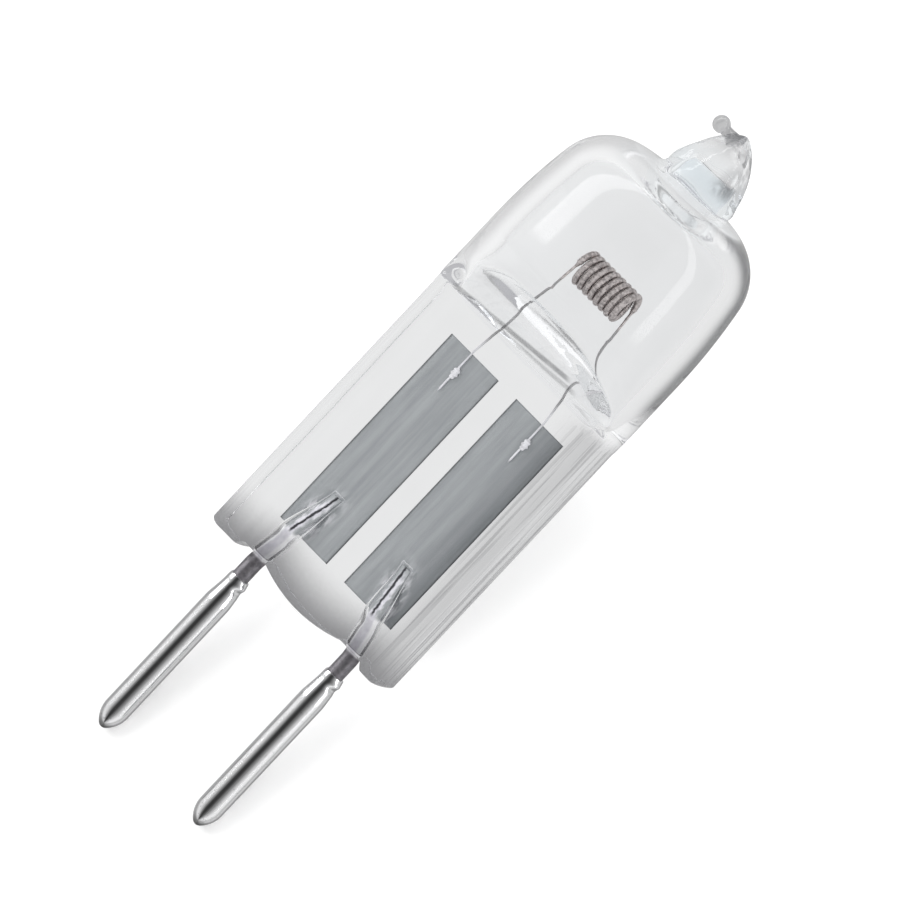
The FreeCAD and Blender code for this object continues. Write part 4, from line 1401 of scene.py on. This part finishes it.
@dataclass(frozen=True)
class Filament:
    """The coil with its two legs."""

    wire_radius: float = 0.062
    sealed_thinning: float = 0.25
    coil_wire_radius: float = 0.15
    coil_radius: float = 0.725
    ridge_pitch: float = 0.11
    ridge_depth: float = 0.12
    pitch: float = 0.345
    turns: float = 8.5
    height: float = 19.62
    foil_top: float = 13.26
    leg_x: float = 2.34
    leg_y: float = -0.113
    bend_rise: float = 0.15
    on_foil: float = 2.3
    weld_radius: float = 0.17
    weld_half_length: float = 0.32
    weld_unevenness: float = 0.18

    @property
    def coil_points(self) -> int:
        """How many points the coil's axis has: four for each rib of the wound wire."""
        length = self.turns * math.hypot(2 * math.pi * self.coil_radius, self.pitch)
        return int(length / self.ridge_pitch * 4)

    def route(self) -> Array:
        """The wire's axis: x grows evenly along the coil while y and z follow the cosine and the sine of the
        turn, from the front upwards. A leg runs down from each end, and straight down on its foil.

        Returns:
            The points.
        """
        share = np.linspace(0, 1, self.coil_points)
        turn = 2 * np.pi * self.turns * share
        coil = np.stack([
            BASE_OFFSET + (share - 0.5) * self.pitch * self.turns,
            -self.coil_radius * np.cos(turn),
            self.height + self.coil_radius * np.sin(turn),
        ], axis=1)
        legs = []
        for side, end in ((Side.LEFT, coil[0]), (Side.RIGHT, coil[-1])):
            x = BASE_OFFSET + side.value * self.leg_x
            bend = np.array([x, self.leg_y, self.foil_top + self.bend_rise])
            foot = np.array([x, self.leg_y, self.foil_top - self.on_foil])
            down = np.linspace(0.03, 1, 24)[:, None]
            slope = end + (bend - end) * down
            along = bend + (foot - bend) * np.linspace(0.08, 1, 12)[:, None]
            legs.append(np.concatenate([slope, along]))
        return np.concatenate([legs[0][::-1], coil, legs[1]])

    def wire_skin(self) -> Array:
        """The wire as a tube with closed ends. Along the coil it is thick and ribbed, because that wire is
        itself wound: its radius follows the sine of the way along it. Inside the pinch the leg is thinner.

        Returns:
            The grid of points.
        """
        route = self.route()
        walked = np.concatenate([[0.0], np.cumsum(np.linalg.norm(np.diff(route, axis=0), axis=1))])
        leg = (len(route) - self.coil_points) // 2
        start, end = walked[leg], walked[-leg - 1]
        in_coil = step(walked, start - 0.1, start + 0.1) * (1 - step(walked, end - 0.1, end + 0.1))
        ribbed = 1 + self.ridge_depth * np.sin(2 * np.pi * walked / self.ridge_pitch)
        sealed = 1 - step(route[:, 2], self.foil_top, self.foil_top + 1.5)
        thin = self.wire_radius * (1 - self.sealed_thinning * sealed)
        radius = thin * (1 - in_coil) + self.coil_wire_radius * ribbed * in_coil
        radius[0] = radius[-1] = 0.0
        return tube(route, radius, 12)

    def weld_skin(self, side: Side) -> Array:
        """The lump where a leg is welded to its foil, a ball with uneven rings.

        Args:
            side: which leg.

        Returns:
            The grid of points.
        """
        share = np.linspace(-1, 1, 24)
        uneven = 1 + self.weld_unevenness * np.sin((share + 1) / 2 * 19)
        radius = self.weld_radius * np.sqrt(np.clip(1 - share ** 2, 0, 1)) * uneven
        x = np.full(24, BASE_OFFSET + side.value * self.leg_x + 0.04)
        y = np.full(24, self.leg_y - 0.02)
        height = self.foil_top - self.on_foil / 2 + self.weld_half_length * share
        return tube(np.stack([x, y, height], axis=1), radius, 20)


@dataclass(frozen=True)
class ContactPin:
    """A plated sleeve with a round-pointed nose, crimped on its lead."""

    radius: float = 0.64
    neck: float = 1.3
    length: float = 9.37
    nose_length: float = 1.09
    nose_radius: float = 0.3
    bore: float = 0.435
    mouth_wall: float = 0.06
    bead_radius: float = 0.53
    waist_radius: float = 0.545
    mouth_length: float = 0.22
    bead_length: float = 0.34
    waist_length: float = 0.2
    shoulder_length: float = 0.8
    mouth_depth: float = 0.5
    corner_round: float = 0.16
    dent_depth: float = 0.12
    dent_half_height: float = 0.13
    dent_drop: float = 0.12
    bump_height: float = 0.1
    bump_half_height: float = 0.14
    tool_angle: float = -0.3
    tool_half_width: float = 0.6

    def line(self) -> Array:
        """The sleeve's outline: bore mouth, bead, waist, wall, and a nose of two arcs. It is drawn finely
        at the crimp and the nose, and the bore is only as deep as is seen.

        Returns:
            Radius and height of its points, from the bore's end to the end of the nose.
        """
        top = -self.neck
        end = top - self.length
        start = end + self.nose_length
        rise = self.nose_length - self.nose_radius
        ogive = (rise ** 2 / (self.radius - self.nose_radius) + self.radius + self.nose_radius) / 2
        bead_top = top - self.mouth_length
        bead_end = bead_top - self.bead_length
        waist_end = bead_end - self.waist_length
        turn = math.degrees(math.atan2(rise, ogive - self.radius))
        crimp = np.array([
            [0.0, top - self.mouth_depth],
            [self.bore, top - self.mouth_depth],
            [self.bore, top],
            [self.bore + self.mouth_wall, top],
            [self.bead_radius, bead_top],
            [self.bead_radius, bead_end],
            [self.waist_radius, bead_end - self.waist_length / 2],
            [self.waist_radius, waist_end],
            [self.radius, waist_end - self.shoulder_length],
            [self.radius, start],
        ])
        nose = arc((self.radius - ogive, start), ogive, 0.0, -turn, 24)
        ball = arc((0.0, end + self.nose_radius), self.nose_radius, -turn, -90.0, 12)
        line = np.concatenate([crimp, nose[1:], ball[1:]])
        even = resample(line, lambda point: np.full(len(point), 0.02))
        for corner in crimp[2:9]:
            even = soften(even, corner, self.corner_round, 14)
        even[0, 0] = even[-1, 0] = 0.0
        crimp_end, nose_start = top - 2.0, start + 0.2
        return resample(even, lambda point: np.where(
            (point[:, 1] > crimp_end) | (point[:, 1] < nose_start), 0.04, 0.5))

    def skin(self, x: float) -> Array:
        """The sleeve turned about its own axis, with a bump and a dent that the crimping tool leaves on
        one side, each a bell curve of the height and of the angle.

        Args:
            x: where its axis crosses the lamp's X axis.

        Returns:
            The grid of points.
        """
        grid = turned(self.line(), 72)
        angle = np.arctan2(grid[..., 1], grid[..., 0])
        bead_end = -self.neck - self.mouth_length - self.bead_length
        above_dent = grid[..., 2] - bead_end + self.dent_drop
        dent = np.exp(-(above_dent / self.dent_half_height) ** 2) * self.dent_depth
        above_bump = grid[..., 2] - bead_end - self.bead_length / 2
        bump = np.exp(-(above_bump / self.bump_half_height) ** 2) * self.bump_height
        facing = np.exp(-((angle - self.tool_angle) / self.tool_half_width) ** 2)
        outside = (np.hypot(grid[..., 0], grid[..., 1]) > self.bore + 0.02) * 1.0
        factor = 1 + (bump - dent) / self.radius * facing * outside
        grid[..., 0] *= factor
        grid[..., 1] *= factor
        grid[..., 0] += x
        return grid[::-1]


# The stage

DIFFUSE_LEVEL = 0.95
# Angle from straight down, positive to the lamp's left, and the brightness that metal and glass mirror.
MIRROR_STOPS = (
    (-180, 0.03), (-170, 0.03), (-158, 0.1), (-142, 0.3), (-125, 0.6), (-105, 1.05), (-82, 1.05),
    (-68, 0.4), (-54, 0.9), (-40, 0.5), (-20, 0.3), (0, 0.3), (14, 0.5), (40, 0.6), (70, 0.35), (85, 0.5),
    (100, 0.95), (122, 0.9), (142, 0.6), (156, 0.25), (168, 0.04), (180, 0.03),
)
# The same for the brightness that is seen through the glass.
GLASS_STOPS = (
    (-180, 0.85), (-150, 0.95), (-110, 0.9), (-90, 0.75), (-60, 0.82), (-38, 0.86), (-20, 0.82), (0, 0.82),
    (12, 0.82), (24, 0.86), (40, 0.96), (58, 0.93), (72, 0.5), (90, 0.4), (110, 0.8), (150, 0.9), (180, 0.85),
)


@dataclass(frozen=True)
class Strip:
    """A bright strip beside the bulb. Its angle is from the front, positive to the left, and in degrees like
    its angular width. The other sizes are in millimetres."""

    name: str
    angle: float
    width: float
    radiance: float
    reach: float = 100.0
    middle: float = 7.0
    length: float = 30.0
    layers: int = 9
    layer_shares: tuple = (0.15, 1.7)
    length_softness: float = 0.4


@dataclass(frozen=True)
class SoftBox:
    """A soft box that looks at the lamp: where it is and its size, in metres, and its power in watts."""

    name: str
    place: tuple
    size: tuple
    power: float


STRIPS = (Strip("strip_left", 60.0, 24.0, 9.0), Strip("strip_right", -76.0, 12.0, 7.0))
SOFT_BOXES = (
    SoftBox("box_left", (0.0, 0.25, 0.3), (0.3, 0.2), 0.35),
    SoftBox("box_right", (0.05, -0.3, 0.3), (0.3, 0.2), 0.25),
)


def area_light(name: str, width: float, height: float, power: float) -> bpy.types.Object:
    """A rectangular light that the camera and refracted rays don't see.

    Args:
        name: its name.
        width: its width, in metres.
        height: its height, in metres.
        power: its power, in watts.

    Returns:
        The light's object, still at the origin.
    """
    data = bpy.data.lights.new(name, "AREA")
    data.shape = "RECTANGLE"
    data.size = width
    data.size_y = height
    data.energy = power
    made = show(name, data)
    made.visible_camera = False
    made.visible_transmission = False
    return made


@dataclass(frozen=True)
class Studio:
    """Floor, lamps, surroundings and camera. The pixel values say where the photograph shows the lamp's
    origin, and how large."""

    pixels_per_mm: float = 22.29
    frame_pixels: float = 900.0
    origin_pixel: tuple = (304.8, 600.1)
    lamp_angle: float = 46.8
    azimuth: float = 16.5
    elevation: float = 8.0
    lens: float = 600.0
    sensor: float = 36.0
    floor_reach: float = 2.0
    floor_grey: float = 0.97
    beyond_tip: Band = (-0.11, -0.04)

    def camera(self) -> None:
        """Puts the camera at the photograph's angle and distance."""
        around = math.radians(self.azimuth)
        above = math.radians(self.elevation)
        along = np.array([
            -math.sin(around) * math.sin(above), math.cos(around) * math.sin(above), math.cos(above)])
        across = np.array([math.cos(around), math.sin(around), 0.0])
        back = np.cross(across, along)
        angle = math.radians(self.lamp_angle)
        right = math.cos(angle) * along + math.sin(angle) * across
        up = math.sin(angle) * along - math.cos(angle) * across
        middle = self.frame_pixels / 2
        shift_x = (middle - self.origin_pixel[0]) / self.pixels_per_mm
        shift_y = (self.origin_pixel[1] - middle) / self.pixels_per_mm
        distance = self.frame_pixels / self.pixels_per_mm * self.lens / self.sensor
        place = AXES.place(right * shift_x + up * shift_y + back * distance)[0]
        data = bpy.data.cameras.new("camera")
        data.lens = self.lens
        data.sensor_width = self.sensor
        data.clip_start = 0.01
        data.clip_end = 10.0
        made = show("camera", data)
        turn = np.stack([AXES.direction(right), AXES.direction(up), AXES.direction(back)], axis=1)
        made.matrix_world = Matrix.Translation(Vector(place)) @ Matrix(turn.tolist()).to_4x4()
        bpy.context.scene.camera = made

    def floor(self) -> None:
        """A pale floor that shows its shadows. Glossy and refracted rays see the surroundings instead."""
        reach = self.floor_reach
        corners = [(-reach, -reach, 0), (reach, -reach, 0), (reach, reach, 0), (-reach, reach, 0)]
        mesh = bpy.data.meshes.new("floor")
        mesh.from_pydata(corners, [], [(0, 1, 2, 3)])
        made = show("floor", mesh)
        material = bpy.data.materials.new("floor")
        material.use_nodes = True
        graph = Graph(material.node_tree)
        plain = graph.node("ShaderNodeBsdfDiffuse", {}, {"Color": (*(self.floor_grey,) * 3, 1.0)})
        clear = graph.node("ShaderNodeBsdfTransparent", {}, {})
        elsewhere = graph.light_path("Is Glossy Ray").most(graph.light_path("Is Transmission Ray"))
        mixed = graph.node("ShaderNodeMixShader", {}, {0: elsewhere, 1: plain, 2: clear})
        graph.output("ShaderNodeOutputMaterial", mixed)
        mesh.materials.append(material)

    def ring(self, graph: Graph, direction: Socket, stops: Stops) -> Socket:
        """A brightness by the angle round the lamp, from straight up over the left, straight down and the
        right back to straight up.

        Args:
            graph: the world's nodes.
            direction: the direction that is looked in.
            stops: the angle in degrees from straight down, positive to the left, and the brightness.

        Returns:
            The brightness.
        """
        left, down = graph.axis(direction, 1), -graph.axis(direction, 2)
        angle = graph.node("ShaderNodeMath", {"operation": "ARCTAN2"}, {0: left, 1: down})
        share = angle / (2 * math.pi) + 0.5
        peak = max(value for _, value in stops)
        scaled = [(degrees / 360 + 0.5, value / peak) for degrees, value in stops]
        return graph.node("ShaderNodeValToRGB", {"stops": scaled}, {0: share}) * peak

    def far_strips(self, graph: Graph, direction: Socket) -> Socket:
        """The strips' brightness far along the lamp, beyond the tip, where the dome mirrors them and the
        pins can't.

        Args:
            graph: the world's nodes.
            direction: the direction that is looked in.

        Returns:
            The brightness.
        """
        across, through, along = (graph.along(direction, AXES.turn[:, axis]) for axis in range(3))
        angle = graph.node("ShaderNodeMath", {"operation": "ARCTAN2"}, {0: -across, 1: -through})
        light = 0.0
        for strip in STRIPS:
            away = (angle - math.radians(strip.angle)).size()
            half = math.radians(strip.width / 2)
            light = (1.0 - away.between(half * 0.8, half * 1.2)) * strip.radiance + light
        return light * along.between(*self.beyond_tip)

    def surroundings(self) -> None:
        """The world: white to the camera, even for diffuse light, and striped along the lamp for metal and
        glass, as soft boxes and dark cards beside it would be."""
        world = bpy.data.worlds.new("surroundings")
        bpy.context.scene.world = world
        world.use_nodes = True
        graph = Graph(world.node_tree)
        direction = graph.node("ShaderNodeTexCoord", {}, {}, "Generated")
        mirrored = self.ring(graph, direction, MIRROR_STOPS) + self.far_strips(graph, direction)
        seen_through = self.ring(graph, direction, GLASS_STOPS)
        level = DIFFUSE_LEVEL + (mirrored - DIFFUSE_LEVEL) * graph.light_path("Is Glossy Ray")
        level = level + (seen_through - level) * graph.light_path("Is Transmission Ray")
        level = level + (1.0 - level) * graph.light_path("Is Camera Ray")
        shader = graph.node("ShaderNodeBackground", {}, {"Color": (1.0, 1.0, 1.0, 1.0), "Strength": level})
        graph.output("ShaderNodeOutputWorld", shader)

    def soft_boxes(self) -> None:
        """The soft boxes, left and right of the lamp, which nothing mirrors."""
        for box in SOFT_BOXES:
            made = area_light(box.name, *box.size, box.power)
            made.location = box.place
            made.rotation_euler = (-Vector(box.place)).to_track_quat("-Z", "Y").to_euler()
            made.visible_glossy = False

    def strips(self) -> None:
        """Bright strips close beside the bulb, so that the bulb mirrors them and the pins don't. Each is a
        stack of nested lights, so that its edges are soft."""
        along = AXES.direction((0.0, 0.0, 1.0))
        for strip in STRIPS:
            turn = math.radians(strip.angle)
            outward = AXES.direction((-math.sin(turn), -math.cos(turn), 0.0))
            place = AXES.place(np.array([0.0, 0.0, strip.middle]))[0] + outward * strip.reach * MM
            axes = np.stack([np.cross(along, outward), along, outward], axis=1)
            for layer, share in enumerate(np.linspace(*strip.layer_shares, strip.layers)):
                width = strip.reach * math.radians(strip.width) * share * MM
                length = strip.length * (1 + strip.length_softness * (share - 1)) * MM
                power = strip.radiance / strip.layers * math.pi * width * length
                made = area_light(f"{strip.name}_{layer}", width, length, power)
                made.matrix_world = Matrix.Translation(Vector(place)) @ Matrix(axes.tolist()).to_4x4()


def build_envelope() -> None:
    """Makes the quartz with its nub and hollows."""
    envelope = Envelope()
    seal = Seal()
    skins = [
        Skin(envelope.outer_skin()),
        Skin(envelope.chamber_skin(), inwards=True),
        Skin(Nub().skin()),
    ]
    skins += [Skin(seal.hollow_skin(side), inwards=True) for side in Side]
    glass = make_piece("quartz_bulb", skins)
    Quartz().dress(glass)
    glass.visible_shadow = False
    glass.visible_diffuse = False
    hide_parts("quartz_envelope")


def build_filament() -> None:
    """Makes the coil, its legs and its welds."""
    filament = Filament()
    skins = [Skin(filament.wire_skin())] + [Skin(filament.weld_skin(side)) for side in Side]
    coil = make_piece("coil_filament", skins)
    Tungsten().dress(coil)
    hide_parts("filament")


def build_side(side: Side) -> None:
    """Makes one foil, lead and pin.

    Args:
        side: which half of the lamp.
    """
    seal = Seal()
    foil = make_piece(f"{side.word}_sealing_foil", [Skin(seal.foil_skin(side), Ends.STRIP)])
    Foil().dress(foil)
    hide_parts(f"{side.word}_foil")
    lead = make_piece(f"{side.word}_lead_wire", [Skin(seal.lead_skin(side))])
    LeadWire().dress(lead)
    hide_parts(f"{side.word}_lead")
    pin = make_piece(f"{side.word}_plated_pin", [Skin(ContactPin().skin(seal.pin_x(side)))])
    Plating().dress(pin)
    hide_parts(f"{side.word}_contact_pin")


def main() -> None:
    """Builds the lamp and the stage."""
    logging.basicConfig(level=logging.INFO, format="%(name)s %(message)s")
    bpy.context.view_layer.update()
    build_envelope()
    build_filament()
    for side in Side:
        build_side(side)
    studio = Studio()
    studio.camera()
    studio.floor()
    studio.surroundings()
    studio.soft_boxes()
    studio.strips()
    bpy.context.scene.view_settings.view_transform = "Standard"


if __name__ == "__main__":
    main()
